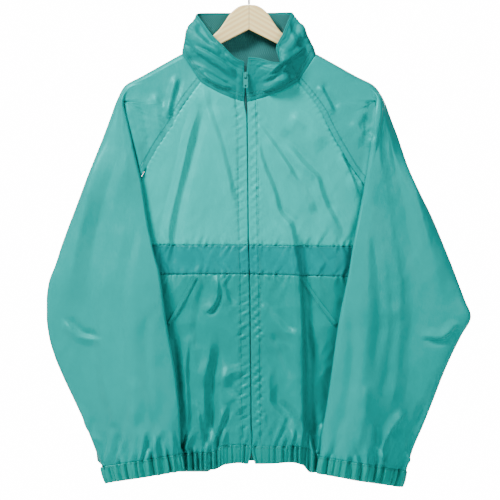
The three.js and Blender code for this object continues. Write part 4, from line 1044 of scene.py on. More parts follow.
def fold_facet(x, z):
    """A flat facet beside the deep fold, which widens downward and ends above the hem."""
    lip = (302.5 - PICTURE_MIDDLE) * PICTURE_STEP
    width = 46 * ramp(z, -612, -735) * (1 - ramp(z, -770, -800))
    groove = 1.6 * bell(x - lip - 1.5, 2.0) * ramp(z, -530, -600)
    return -0.33 * np.clip(x - lip, 0, width) - groove


def front_detail(side, x, z, lower=False):
    """Height toward the viewer of all that a front's cloth does besides its large folds."""
    a = np.abs(x)
    clear = smooth(6, 22, np.abs(x - zip_middle(z)))
    height = crease_height(FRONT_CREASES, x, z) * clear
    height = height + (soft_unevenness(x, z) + (2.4 if lower else 1.2) * crumple(x, z, 25)) * clear
    height = height + 1.5 * zip_puckers(side, x, z) + 1.4 * band_puckers(side, x, z)
    if not lower:
        height = height + raglan_puckers(side, x, z) * (z > -406)
    else:
        height = height + hem_gathers(side, x, z, hem_read(HEM_TOP, side, a))
        if side == "left":
            height = height + fold_facet(x, z)
    edge = a_at(FOLD_EDGE[side], z)
    held_down = 1 - 0.65 * smooth(edge - 14, edge + 2, a)
    return np.where(height > 0, height * held_down, height) * shown_front(side, x, z)


def yoke_ends(side):
    """Heights at which the rows of a yoke end at its outer side."""
    seams = [row[0] for row in STRAIGHT_ROWS + PLEATED_ROWS]
    return np.array(seams + [UNDERARM_Z, -438, band_top_z(side)], float)


def front_grid(side, z_zip, outer_a, outer_z, sag):
    u = share_columns(FRONT_COLUMNS)[None, :]
    x = mix(zip_edge_x(side, z_zip)[:, None], SIDES[side] * outer_a[:, None], u)
    z = mix(z_zip[:, None], outer_z[:, None], u) - sag[:, None] * 4 * u * (1 - u)
    return x, z


def seam_dip(points, normal, edges):
    """Draws the cloth in along its seams."""
    d = edge_distances(points)
    amount = np.max([bell(d["from_" + edge], 1.8) for edge in edges], axis=0)
    return points - normal * (0.9 * amount)[..., None]


thread_lines = {}
VIEWER = np.array([0.0, -1.0, 0.0])
AWAY = np.array([0.0, 1.0, 0.0])


def sew(group, grid, normal, *seams):
    """Notes lines of stitches, each given by an edge of a grid and a distance from it."""
    for edge, offset in seams:
        away = edge_distances(grid)["from_" + edge]
        both = np.concatenate([grid, normal], axis=2)
        if edge in ("top", "bottom"):
            both, away = both.transpose(1, 0, 2), away.T
        if edge in ("last", "bottom"):
            both, away = both[:, ::-1], away[:, ::-1]
        line = np.array([interpolated(offset, *row) for row in zip(away, both)])
        thread_lines.setdefault(group, []).append(line)


STITCH_PITCH = 3.4
STITCH_LENGTH = 2.5
THREAD_RADIUS = 0.36


def stitching(group, lines):
    """Short arched stitches along lines of points and normals."""
    vertices, quads, start = [], [], 0
    for line in lines:
        lengths = lengths_along(line[:, :3])
        middle = np.arange(STITCH_PITCH, lengths[-1] - STITCH_PITCH / 2, STITCH_PITCH)
        at = middle[:, None] + np.array([-0.5, -0.22, 0.22, 0.5]) * STITCH_LENGTH
        place = interpolated(at, lengths, line)
        point, out = place[..., :3], unit(place[..., 3:])
        along = unit(np.gradient(point, axis=1))
        across = unit(np.cross(along, out))
        point = point + out * np.array([-0.3, 0.32, 0.32, -0.3])[None, :, None]
        turn = np.arange(5) * 2 * np.pi / 5
        round_thread = across[:, :, None] * np.cos(turn)[:, None] + out[:, :, None] * np.sin(turn)[:, None]
        ring = point[:, :, None] + THREAD_RADIUS * round_thread
        one = grid_quads(4, 5, True)
        quads.append((one[None] + 20 * np.arange(len(middle))[:, None, None]).reshape(-1, 4) + start)
        vertices.append(ring.reshape(-1, 3))
        start += len(vertices[-1])
    obj = make_mesh(f"stitches_{group}", np.concatenate(vertices), np.concatenate(quads), {}, THREAD)
    finish_piece(obj, None)


def front_piece(part, side, x, z, material, dips=ENDS, seams=()):
    """Makes one piece of a front, with a line of stitches along the zip."""
    points = points_of(x, front_y(x, z) - front_detail(side, x, z, part == "lower"), z)
    normal = outward_normals(points, VIEWER)
    points = seam_dip(points, normal, dips)
    sew(f"front_{side}", points, normal, ("first", ZIP_STITCH), *seams)
    cloth_sheet(f"{part}_cloth_{side}", f"front_{part}_{side}", points, normal, material)
    return points


fronts = {}

for side, sign in SIDES.items():
    ends_z = yoke_ends(side)
    v = np.linspace(0, 1, 150)
    outer_z = np.interp(v * (len(ends_z) - 1), np.arange(len(ends_z)), ends_z)
    seam_a = a_at(FRONT_SEAM[side], outer_z)
    outer_a = np.where(outer_z >= UNDERARM_Z, seam_a, half_width(outer_z))
    z_zip = mix(NECK_FRONT_Z, BAND_TOP, v)
    x, z = front_grid(side, z_zip, outer_a, outer_z, 4 * (1 - v) ** 2)
    yoke = front_piece("yoke", side, x, z, TOP_LIT_YOKE_CLOTH,
                       ("last", "bottom", "top"))

    v = np.linspace(0, 1, 30)
    z_zip = mix(BAND_TOP, BAND_BOTTOM, v)
    z_side = mix(band_top_z(side), band_bottom_z(side), v)
    x, z = front_grid(side, z_zip, half_width(z_side), z_side, 0 * v)
    front_piece("band", side, x, z, BAND_CLOTH,
                seams=[("top", SEAM_STITCH), ("bottom", SEAM_STITCH)])

    v = np.linspace(0, 1, 165)[:, None]
    u = share_columns(FRONT_COLUMNS)[None, :]
    z_top = mix(BAND_BOTTOM, band_bottom_z(side), u)
    z = mix(z_top, hem_read(HEM_TOP, side, half_width(z_top) * u), v)
    x = mix(zip_edge_x(side, z), sign * half_width(z), u)
    lower = front_piece("lower", side, x, z, LOWER_CLOTH)
    fronts[side] = {"neck": yoke[0], "lower": lower}


# Gathered hems


def gathers(s, pitch, seed):
    """Uneven rounded gathers along a length, from -1 to 1."""
    wave = ripples(s, pitch, 2.4 * noise(s / (3.2 * pitch), 0, seed))
    return np.sign(wave) * np.abs(wave) ** 0.8 * (0.8 + 0.3 * noise(s / (1.7 * pitch), 4.2, seed))


HEM_COLUMNS = 330
CUFF_COLUMNS = 360
ELASTIC_ROWS = 18
ELASTIC_WALL = 1.8


def hem_grid(seam, bottom_z, edge_x, gather_amount, pitch, facing, seed):
    """An elastic band below a seam. The side of its edge at the zip is drawn to edge_x."""
    line = resampled(seam, HEM_COLUMNS)
    lengths = lengths_along(line)
    v = np.linspace(0, 1, ELASTIC_ROWS)[:, None]
    a = np.abs(line[:, 0])
    z = mix(line[:, 2], bottom_z, v)
    x = line[:, 0] * mix(1, 0.992, v)
    if edge_x is not None:
        x = x + bell(lengths, 14) * (edge_x - line[0, 0]) * v * v
    along = lengths[None, :]
    wave = 0.45 * gathers(along + 3 * noise(v * 3, along / 20, seed + 1), 1.7 * pitch, seed)
    wave = wave + 0.9 + 2.4 * pinched(along, v, lengths[-1], pitch, seed)
    ends = smooth(0, 7, lengths) * smooth(0, 7, lengths[-1] - lengths)
    puff = np.sin(np.pi * v) ** 0.7
    drawn = mix(1, 0.95, v * smooth(12, 45, a))
    y = line[:, 1] * drawn + facing * ends * (wave * gather_amount * (0.55 + 0.6 * v ** 0.6) + 1.3 * puff)
    return points_of(x, y, z)


def hem_object(name, seam, facing, **form):
    """Makes the elastic hem below a seam, stitched along its top."""
    hem = hem_grid(seam, facing=facing[1], **form)
    normal = outward_normals(hem, facing)
    sew("hems", hem + ELASTIC_WALL / 2 * normal, normal, ("top", SEAM_STITCH))
    return shell_object(name, hem, normal, ELASTIC_WALL, HEM_CLOTH)


for side in SIDES:
    seam = fronts[side]["lower"][-1]
    a = np.abs(resampled(seam, HEM_COLUMNS)[:, 0])
    if side == "right":
        amount = 0.35 + 1.35 * smooth(38, 58, a) + 0.6 * smooth(14, 22, a) * (1 - smooth(28, 36, a))
    else:
        amount = 0.3 + 0.75 * smooth(50, 62, a) + 0.55 * smooth(92, 106, a)
    obj = hem_object(f"hem_cloth_{side}", seam, VIEWER, bottom_z=hem_read(HEM_BOTTOM, side, a),
                     edge_x=HEM_EDGE[side], gather_amount=amount, pitch=6.4, seed=40 + SIDES[side])
    finish_piece(obj, f"hem_{side}")


# Back


def back_lift(x):
    """How much higher the back's hem hangs in its middle, behind the front hem."""
    return 19 * smooth(-74, -46, x) * (1 - smooth(90, 114, x))


def back_grid():
    s = np.linspace(-1, 1, 151)
    u = (0.55 * s + 0.45 * np.sin(np.pi / 2 * s))[None, :]
    upper_z = mix(BACK_NECK_Z, UNDERARM_Z, np.linspace(0, 1, 90)[:-1])
    lower_z = mix(UNDERARM_Z, BACK_SEAM_Z, np.linspace(0, 1, 140))
    z = np.concatenate([upper_z, lower_z])[:, None]
    edge = np.where(z >= UNDERARM_Z, a_at(BACK_SEAM, z), half_width(z))
    dip = np.where(z >= UNDERARM_Z, 6 * (1 - (z - BACK_NECK_Z) / (UNDERARM_Z - BACK_NECK_Z)) ** 3, 0)
    x = edge * u
    low = np.clip((UNDERARM_Z - z) / (UNDERARM_Z - BACK_SEAM_Z), 0, 1)
    z = z - dip * (1 - u * u) + low * back_lift(x)
    return x, z


x, z = back_grid()
detail = crease_height(BACK_CREASES, x, z, 9) + soft_unevenness(x + 300, z) + 2.0 * crumple(x + 300, z, 35)
detail = detail + radiating(x + 230, np.maximum(0, z - BACK_SEAM_Z - back_lift(x)), 460, 12, 32, 3.6, 19)
detail = detail * smooth(0, 30, half_width(z) - np.abs(x)) * smooth(0, 26, shoulder_line(np.abs(x)) - z)
back = points_of(x, back_y(x, z) + detail, z)
normal = outward_normals(back, AWAY)
back = seam_dip(back, normal, ALL_EDGES)
cloth_sheet("back_cloth", "back", back, normal, BACK_CLOTH)

bottom_z = HEM_BACK_Z + back_lift(resampled(back[-1], HEM_COLUMNS)[:, 0])
obj = hem_object("hem_cloth_back", back[-1], AWAY, bottom_z=bottom_z, edge_x=None, gather_amount=1.5,
                 pitch=7.0, seed=47)
finish_piece(obj, "hem_back")


# Sleeves


def under_face(a, z):
    """Face of a sleeve toward the body, below the underarm."""
    w = half_width(z)
    down = smooth(-(UNDERARM_Z + 2), -(UNDERARM_Z - 70), -z)
    free = (table_read(FORM, "z", "front", z) + 4.5) * (1 - smooth(w - 55, w + 55, a)) + 4
    outward = smooth(w, w + 60, a)
    outside = -mix(mix(1.2, free, down), mix(1, free * (1 - outward) + 1, down), outward)
    near_seam = smooth(w - 22, w, a) * (1 - down)
    near = -front_y(np.minimum(a, w), z) + LAYER
    inside = -mix(mix(near, free, down), 1.2 - front_y(a, z), near_seam)
    return float(np.where(a >= w, outside, inside))


def sleeve_tone(side, t, z):
    phase = 0.4 if side == "right" else 2.1
    lower = smooth(-700, -840, z)
    return math.sin(3 * math.pi * t + phase + z / 210) * 2.2 + math.sin(8 * math.pi * t + phase) * 2.4 * lower


def upper_straight_row(side, key):
    """A row of a sleeve that has no pleat yet: one line from the seam to the shoulder line."""
    sign = SIDES[side]
    row = []
    for k in range(16):
        t = key.share * k / 6 if k <= 6 else mix(key.share, 0.975, (k - 6) / 9)
        a = mix(key.seam_a, key.outer_a, t)
        z = mix(key.seam_z, key.outer_z, t)
        row.append((a, float(front_y(sign * a, z)), z))
    row.append((key.outer_a, 0.0, key.outer_z))
    for k in range(6):
        t = mix(0.03, 1, (k / 5) ** 1.7)
        a = mix(key.outer_a, key.back_a, t)
        z = mix(key.outer_z, key.back_z, t)
        row.append((a, float(back_y(a, z)), z))
    return row


def sleeve_row(side, key):
    """One row of a sleeve: seam, hidden fold, fold edge, outer edge, back seam."""
    pleat = key.pleat
    if pleat < 0.5:
        return upper_straight_row(side, key)
    sign = SIDES[side]
    r = FOLD_RADIUS
    in_tube = key.hidden_a is None
    row = []

    def layered(a, z, k):
        return float(front_y(sign * a, z)) - LAYER * k * pleat

    if in_tube:
        for k in range(6):
            a = mix(key.seam_a, key.fold_a + r, k / 5)
            z = mix(key.seam_z, key.fold_z, k / 5)
            row.append((a, under_face(a, z), z))
        fold_base = -under_face(key.fold_a + r, key.fold_z)
    else:
        hidden_z = mix(key.fold_z, key.outer_z, 0.4)
        for k in range(3):
            a = mix(key.seam_a, key.hidden_a - r * pleat, k / 2)
            z = mix(key.seam_z, hidden_z, k / 2)
            row.append((a, layered(a, z, 0), z))
        row.append((key.hidden_a, layered(key.hidden_a, hidden_z, 0.5), hidden_z))
        start = key.hidden_a - r
        end = key.fold_a + r
        row.append((start, layered(start, hidden_z, 1), mix(hidden_z, key.fold_z, 0.1)))
        row.append((end, layered(end, key.fold_z, 1), mix(hidden_z, key.fold_z, 0.9)))
        fold_base = -layered(key.fold_a, key.fold_z, 1)
    row.append((key.fold_a, -fold_base - LAYER * 0.5 * pleat, key.fold_z))

    width = key.outer_a - key.fold_a
    c_start = min(key.fold_a + r * pleat, key.outer_a - 4)
    c_end = key.outer_a - min(r, width * 0.12 + 0.6)
    for k in range(9):
        t = k / 8
        a = mix(c_start, c_end, t)
        z = mix(key.fold_z, key.outer_z, min(1, max(0, (a - key.fold_a) / width)))
        bulge = key.thick * math.sin(math.pi * mix(0.03, 0.97, t)) ** 0.65
        tone = sleeve_tone(side, t, z) * float(smooth(0, 0.16, t) * smooth(0, 0.16, 1 - t))
        if in_tube:
            y = under_face(a, z) - LAYER - bulge - tone
        else:
            y = -mix(fold_base + LAYER, r + 1, t ** 1.2) - bulge - tone
        row.append((a, y, z))
    row.append((key.outer_a, -1.0, key.outer_z))

    for k in range(6):
        t = k / 5
        a = mix(c_end, key.back_a, t)
        z = mix(key.outer_z, key.back_z, t)
        if in_tube:
            y = under_face(a, z)
        else:
            y = mix(r, float(back_y(key.back_a, key.back_z)), math.sqrt(t)) + 5 * math.sin(math.pi * t)
        row.append((a, y, z))
    return row


def sleeve_keys(side):
    """What each row of a sleeve needs, from the neck down to the cuff."""

    def at(table, height):
        return float(a_at(table, height))

    def row(seam_z, outer_z, back_z, pleat, outer_a, **more):
        seam_a, back_a = at(FRONT_SEAM[side], seam_z), at(BACK_SEAM, back_z)
        return SimpleNamespace(seam_z=seam_z, seam_a=seam_a, outer_z=outer_z, outer_a=outer_a,
                               back_z=back_z, back_a=back_a, pleat=pleat, **more)

    keys = []
    for seam_z, outer_z, back_z, pleat, outer_a, share in STRAIGHT_ROWS:
        outer_a = outer_a + (2 if pleat > 0 and side == "left" else 0)
        keys.append(row(seam_z, outer_z, back_z, pleat, outer_a, share=share))
    for seam_z, outer_z, back_z, pleat, fold_z, hidden_a in PLEATED_ROWS:
        outer_a, fold_a = at(OUTER[side], outer_z), at(FOLD_EDGE[side], fold_z)
        keys.append(row(seam_z, outer_z, back_z, pleat, outer_a, fold_z=fold_z, fold_a=fold_a,
                        hidden_a=hidden_a, thick=min(20, 0.2 * (outer_a - fold_a))))
    heights = LOWER_ROWS[side]
    cuff_z = CUFFS[side]["fold_z"]
    for outer_z in heights:
        v = (outer_z - heights[0]) / (heights[-1] - heights[0])
        fold_z = mix(-394, cuff_z, v)
        seam_z = mix(UNDERARM_Z, mix(cuff_z, heights[-1], 0.5), v)
        seam_a = at(UNDER_SEAM, seam_z)
        keys.append(SimpleNamespace(
            seam_z=seam_z, seam_a=seam_a, outer_z=outer_z, outer_a=at(OUTER[side], outer_z), back_z=seam_z,
            back_a=seam_a + 0.1, pleat=1, fold_z=fold_z, fold_a=at(FOLD_EDGE[side], fold_z), hidden_a=None,
            thick=mix(20, 15, v)))
    return keys


def refined(coarse, row_step, column_step):
    """A finer grid through the points of a coarse one."""
    across = np.linalg.norm(np.diff(coarse[..., :3], axis=1), axis=2).mean(axis=0)
    counts = np.maximum(2, np.round(across / column_step)).astype(int)
    places = np.concatenate([[0]] + [k + np.arange(1, n + 1) / n for k, n in enumerate(counts)])
    keys = np.concatenate([[0], np.cumsum(across)])
    at = np.interp(places, np.arange(len(keys)), keys)
    wide = read(keys, coarse.transpose(1, 0, 2), at).transpose(1, 0, 2)
    down = np.linalg.norm(np.diff(wide[..., :3], axis=0), axis=2).mean(axis=1)
    row_keys = np.concatenate([[0], np.cumsum(down)])
    count = int(round(row_keys[-1] / row_step))
    row_at = np.linspace(0, row_keys[-1], count + 1)
    return read(row_keys, wide, row_at), places


# A place in a row counts its points: 0 at the front seam, 6 at the fold edge, 16 at the outer edge
# and 22 at the back seam.

RAGLAN_END_Z = -404
PLEAT_END_Z = -398


def shown_part(place, z, pleated):
    """One on the sleeve's visible parts, zero inside its pleat."""
    return mix(1.0, smooth(6.4, 8.0, place) + (1 - smooth(1.9, 2.7, place)) * (z > PLEAT_END_Z), pleated)


def make_cuff(side, ring):
    """Makes the gathered ring of elastic below a sleeve, sewn to the line given."""
    sign = SIDES[side]
    centre = ring.mean(axis=0)
    tilt = math.atan(CUFFS[side]["tilt"])
    down = np.array([-sign * math.sin(tilt), 0, -math.cos(tilt)])
    across = np.array([sign * math.cos(tilt), 0, -math.sin(tilt)])
    # The way outward is read from a smoother ring, so that folds don't turn it
    smooth_ring = sum(np.roll(ring, k, axis=0) for k in range(-9, 10)) / 19
    smooth_ring[:, 0] = ring[:, 0]
    along = unit(np.roll(smooth_ring, -1, axis=0) - np.roll(smooth_ring, 1, axis=0))
    outward = unit(np.cross(along, down))
    outward = outward * np.where(np.sum(outward * (ring - centre), axis=1) < 0, -1, 1)[:, None]
    v = np.linspace(0, 1, ELASTIC_ROWS)[:, None]
    share = np.arange(CUFF_COLUMNS)[None, :] / CUFF_COLUMNS
    around = np.linalg.norm(np.roll(ring, -1, axis=0) - ring, axis=1).sum()
    wave = 0.5 * np.sin(2 * np.pi * 14 * share + 2.0 * np.sin(2 * np.pi * 3 * share + 1.1))
    wave = wave + 0.2 * np.sin(2 * np.pi * 41 * share + 4 * v)
    wave = wave + 0.8 + 2.6 * pinched(share * around, v, around, 8.2, 71 + sign)
    lift = 1.35 * wave * (0.6 + 0.5 * v ** 0.7) + 1.4 * np.sin(np.pi * v) ** 0.7
    offset = np.sum((ring - centre) * across, axis=1)[None, :]
    pull = np.where(offset > 0, -CUFFS[side]["narrower"] * v * (offset / 70) * 0.5, 0)
    cuff = (ring[None] + down * (0.4 + CUFF_HEIGHT * v)[..., None] + outward[None] * lift[..., None]
            + across * pull[..., None])
    normal = outward_normals(cuff, outward, True)
    sew(f"sleeve_{side}", cuff + ELASTIC_WALL / 2 * normal, normal, ("top", SEAM_STITCH))
    obj = shell_object(f"cuff_cloth_{side}", cuff, normal, ELASTIC_WALL, CUFF_CLOTH, True)
    finish_piece(obj, f"cuff_{side}")


for side, sign in SIDES.items():
    keys = sleeve_keys(side)
    coarse = np.array([sleeve_row(side, key) for key in keys])
    coarse[..., 0] *= sign
    # Evens out the depth of the points that show, from row to row
    for _ in range(3):
        coarse[8:-1, 7:16, 1] = (coarse[7:-2, 7:16, 1] + 2 * coarse[8:-1, 7:16, 1] + coarse[9:, 7:16, 1]) / 4
    pleats = np.array([key.pleat for key in keys])[:, None, None] + 0 * coarse[..., :1]
    sleeve, places = refined(np.concatenate([coarse, pleats], axis=2), 2.9, 2.6)
    sleeve, pleat = sleeve[..., :3], sleeve[..., 3]
    d = edge_distances(sleeve)
    from_seam = d["from_first"]
    x, z = sleeve[..., 0], sleeve[..., 2]
    place = places[None, :] + 0 * x
    face = shown_part(place, z, smooth(0.0, 0.9, pleat)) * (1 - smooth(14.2, 15.6, place))
    normal = outward_normals(sleeve, np.where(face > 0.5, 1, 0)[..., None] * VIEWER)
    rear = smooth(16.4, 17.6, place) * smooth(0, 40, d["from_last"])
    height = face * (crease_height(SLEEVE_CREASES[side], x, z, 5) + 0.9 * soft_unevenness(x * 0.8 + 90, z)
                     + 1.3 * crumple(x * 0.8 + 90, z * 0.7, 45))
    height = height + rear * (soft_unevenness(x + 500, z) + 1.3 * crumple(x + 500, z, 55))
    cuffward = radiating(from_seam, d["from_bottom"], from_seam[:, -1].max(), 13, 40, 9.0, 51 + sign)
    cuffward = cuffward * smooth(0.25, 0.85, np.abs(normal[..., 1])) * smooth(-430, -520, z)
    height = height + cuffward * smooth(0, 6, from_seam) * smooth(0, 6, d["from_last"])
    raglan = z > RAGLAN_END_Z
    near_seam = np.where(raglan, from_seam, 90.0)
    s = d["from_top"]
    wave = ripples(s, 7.8, 3 * noise(s / 24, 0, 14)) + 0.6 * noise(s / 4.6, near_seam / 9, 15)
    ripple = wave * 0.75 * bell(near_seam - 6, 9) * (0.6 + 0.5 * noise(s / 19, near_seam / 12, 16))
    height = height + ripple * smooth(0, 3, from_seam)
    sleeve = sleeve + normal * height[..., None]
    sleeve = seam_dip(sleeve, normal, ("first", "last", "top"))
    fronts[side]["shoulder"] = sleeve[0]
    sewn = z[:, 0] > PLEAT_END_Z
    sew(f"sleeve_{side}", sleeve[sewn], normal[sewn], ("first", RAGLAN_STITCH), ("last", RAGLAN_STITCH))
    seam_distance = np.pad(np.where(raglan, from_seam, 200.0), ((1, 1), (0, 0)), mode="edge")
    cloth_sheet(f"sleeve_cloth_{side}", f"sleeve_{side}", sleeve, normal, SLEEVE_CLOTH,
                ENDS, {"seam_distance": seam_distance})
    make_cuff(side, resampled(sleeve[-1][:-1], CUFF_COLUMNS, True))


# Collar


def neck_line(side):
    """Where the collar is sewn on, from the zip round to the middle of the back."""
    middle = back.shape[1] // 2
    half = back[0, :middle + 1] if side == "right" else back[0, middle:][::-1]
    return np.concatenate([fronts[side]["neck"], fronts[side]["shoulder"], half])


def neck_outward(points):
    """Directions away from the middle of the neck, which is an oval."""
    return points / np.array([105, 30, np.inf])


def collar_half(side, heights, columns):
    """One half of the collar, from the zip to the middle of the back, at shares of its height."""
    base = resampled(neck_line(side), columns)
    s = np.linspace(0, 1, columns)
    a, y, z, bulge = (table_read(COLLAR_TOP[side], "s", column, s) for column in ("a", "y", "z", "bulge"))
    goal = points_of(SIDES[side] * a, y, z)
    v = np.asarray(heights)[:, None, None]
    grid = mix(base[None], goal[None], v)
    first = 1 - smooth(0, 0.015, s)
    edge = zip_edge_x(side, grid[:, 0, 2])
    grid[..., 0] = mix(grid[..., 0], edge[:, None], first[None, :])
    return grid + unit(neck_outward(grid)) * (bulge * np.sin(np.pi * v[..., 0]))[..., None]


def collar_grid(heights, columns):
    right = collar_half("right", heights, columns)
    left = collar_half("left", heights, columns)
    return np.concatenate([right, left[:, ::-1][:, 1:]], axis=1)


COLLAR_WALL = 2.0
LINING_DEPTH = 4.4
LINING_ENDS = 12

collar = collar_grid(np.linspace(0, 1, 52), 170)
normal = outward_normals(collar, neck_outward(collar))
x, z = collar[..., 0], collar[..., 2]
front_side = smooth(0.0, 0.5, -normal[..., 1])
d = edge_distances(collar)
height = 1.3 * crease_height(COLLAR_CREASES, x, z, 7) * front_side
height = height + 0.9 * noise(x / 22, z / 14, 71) + 0.5 * noise(x / 9, z / 7, 72)
slope = 0.85 * z - 0.53 * np.abs(x)
along_slope = 0.85 * np.abs(x) + 0.53 * z + 400 * (x > 0)
for pitch, depth in ((9, 2.0), (5, 1.2)):
    wrinkle = noise(slope / pitch, along_slope / 30, 75 + pitch)
    uneven = 0.55 + 0.45 * noise(x / 30, z / 30, 77)
    height = height - depth * bell(wrinkle, 0.16) * uneven * front_side
roll = bell(d["from_bottom"] - 30, 13) * smooth(20, 50, np.abs(x)) * front_side
height = height + 5 * roll
height = np.where(height < 0, 2.6 * np.tanh(height / 2.6), 6.5 * np.tanh(height / 6.5))
height = height * smooth(0, 8, d["from_top"]) * smooth(0, 6, d["from_bottom"])
height = height * smooth(0, 12, d["from_first"]) * smooth(0, 12, d["from_last"])
for offset in COLLAR_STITCHES:
    height = height - 0.5 * bell(d["from_bottom"] - offset, 1.6)
collar = collar + normal * height[..., None]
sew("collar", collar + COLLAR_WALL / 2 * normal, normal, ("bottom", SEAM_STITCH),
    *(("top", offset) for offset in COLLAR_STITCHES), ("first", 4.0), ("last", 4.0))
obj = shell_object("collar_cloth", collar, normal, COLLAR_WALL, COLLAR_CLOTH)
finish_piece(obj, "collar")

lining = collar_grid(np.linspace(0.1, 0.965, 40), 150)
normal = outward_normals(lining, neck_outward(lining))
lining = (lining - normal * LINING_DEPTH)[:, LINING_ENDS:-LINING_ENDS]
normal = normal[:, LINING_ENDS:-LINING_ENDS]
behind = smooth(-0.2, 0.4, normal[:1, :, 1])
skirt = [lining[:1] - [0, 0, 1] * (0.2 + behind[..., None] * depth) for depth in (36, 27, 18, 9)]
lining = np.concatenate(skirt + [lining])
normal = np.concatenate([normal[:1]] * len(skirt) + [normal])
cloth_sheet("collar_lining_cloth", "collar_lining", lining, -normal, LINING_CLOTH,
            ())


# Zip: tapes and coil


COLLAR_FRONT_Y = -33.0
COLLAR_FRONT_Z = -153


def zip_y(z):
    """Depth of the zip, which follows the fronts and above them the collar's slant."""
    z = np.asarray(z, float)
    level = front_y(np.zeros_like(z), z)
    share = (z - NECK_FRONT_Z) / (COLLAR_FRONT_Z - NECK_FRONT_Z)
    rise = mix(float(front_y(0.0, NECK_FRONT_Z)), COLLAR_FRONT_Y, share)
    return np.where(z <= NECK_FRONT_Z, level, rise)


TAPE_BEHIND = 2.4
zip_z = np.linspace(-163, -829, 420)
for side, sign in SIDES.items():
    offsets = np.linspace(1.6, 10.5, 8)[None, :]
    narrow = np.where(zip_z > NECK_FRONT_Z - 6, 0.62, 1.0)[:, None]
    x = zip_middle(zip_z)[:, None] + sign * mix(1.6, offsets, narrow)
    tape = points_of(x, zip_y(zip_z)[:, None] + TAPE_BEHIND, zip_z[:, None])
    normal = outward_normals(tape, VIEWER)
    obj = shell_object(f"tape_cloth_{side}", tape, normal, 0.5, TAPE_CLOTH)
    finish_piece(obj, f"zip_tape_{side}")


def tube(path, radius, sides):
    """Vertices and quads of a tube along a path."""
    tangent = unit(np.gradient(path, axis=0))
    helper = np.array([0.0, 1.0, 0.0]) + 0 * tangent
    first = unit(np.cross(tangent, helper))
    second = np.cross(tangent, first)
    angle = np.arange(sides) * 2 * np.pi / sides
    ring = first[:, None] * np.cos(angle)[:, None] + second[:, None] * np.sin(angle)[:, None]
    return (path[:, None] + radius * ring).reshape(-1, 3), grid_quads(len(path), sides, True)


COIL_TOP_Z = -164.5
COIL_BOTTOM_Z = -828
COIL_STEP = 1.5


def tooth_chain():
    """Coil of the closed zip: small hooked loops that lock in turn from each side."""
    vertices, quads = [], []
    start = 0
    heights = np.arange(COIL_TOP_Z, COIL_BOTTOM_Z, -COIL_STEP)
    for number, z in enumerate(heights):
        sign = 1 if number % 2 else -1
        middle = float(zip_middle(z))
        level = float(zip_y(z)) + 1.7
        turn = np.linspace(-0.5 * np.pi, 1.5 * np.pi, 11)
        x = middle + sign * (1.1 - 1.6 * np.sin(turn * 0.5 + 0.25 * np.pi) ** 2)
        path = points_of(x, level - 0.55 * np.sin(turn), z + 0.34 * np.cos(turn))
        v, q = tube(path, 0.42, 5)
        vertices.append(v)
        quads.append(q + start)
        start += len(v)
    return np.concatenate(vertices), np.concatenate(quads)


vertices, quads = tooth_chain()
obj = make_mesh("zip_teeth", vertices, quads, {}, ZIP_PLASTIC)
finish_piece(obj, "zip_coil")


# Pocket edges: folded and stitched mouths on the lower fronts

POCKET_WIDTH = 7
POCKET_WALL = 1.0


def surface_at(grid, x, z):
    """Depth of a front at places on it, from the nearest grid point."""
    flat = grid.reshape(-1, 3)
    result = []
    for px, pz in zip(np.ravel(x), np.ravel(z)):
        k = np.argmin((flat[:, 0] - px) ** 2 + (flat[:, 2] - pz) ** 2)
        result.append(flat[k, 1])
    return np.array(result).reshape(np.shape(x))


for side, sign in SIDES.items():
    top, bottom = np.array(POCKETS[side], float)
    t = np.linspace(-0.03, 1.03, 80)[:, None]
    length = np.hypot(*(bottom - top))
    across = np.array([top[1] - bottom[1], bottom[0] - top[0]]) / length
    w = np.linspace(0, 1, 9)[None, :]
    bow = 1.2 * np.sin(np.pi * t)
    x = sign * (mix(top[0], bottom[0], t) - across[0] * (POCKET_WIDTH * w + bow))
    z = mix(top[1], bottom[1], t) - across[1] * (POCKET_WIDTH * w + bow)
    puckers = 0.35 * np.sin(2 * np.pi * t * length / 7.5) * bell(w - 0.85, 0.3)
    y = surface_at(fronts[side]["lower"], x, z) - 1.5 - 0.9 * (1 - w) ** 2 - puckers
    y = np.stack([np.convolve(np.pad(line, 3, mode="edge"), np.ones(7) / 7, "valid") for line in y.T], axis=1)
    welt = points_of(x, y, z)
    normal = outward_normals(welt, VIEWER)
    sew(f"front_{side}", welt + POCKET_WALL / 2 * normal, normal, ("last", POCKET_STITCH))
    obj = shell_object(f"pocket_cloth_{side}", welt, normal, POCKET_WALL, POCKET_CLOTH)
    finish_piece(obj, f"pocket_edge_{side}")


for group, lines in thread_lines.items():
    stitching(group, lines)

# Hanger: arms with rounded edges, and the hook

ARM_TOP = [(0.2, -57.6), (10, -58.3), (18, -61), (26, -66.5), (34, -75), (42, -87), (52.5, -101.5),
           (66, -113.5), (90, -131.5), (115, -146), (204, -196.3)]
ARM_END = [(208.5, -199.8), (208.5, -204.3), (205, -207.3)]
ARM_BOTTOM = [(160, -183.5), (47, -124.6), (0.2, -100.5)]

# Depth of each ring of points round an arm, and how far its rounded edge is drawn in there
EDGE_RINGS = [(5.5, 2.2), (5.2, 1.2), (4.5, 0.45), (3.3, 0.0)]
ARM_RINGS = [(-depth, amount) for depth, amount in EDGE_RINGS] + EDGE_RINGS[::-1]


def arm_outline():
    top = smooth_path(ARM_TOP, 8)
    end = smooth_path([tuple(top[-1]), *ARM_END, ARM_BOTTOM[0]], 5)
    bottom = np.array(ARM_BOTTOM)
    return np.concatenate([top, end[1:], bottom[1:]])


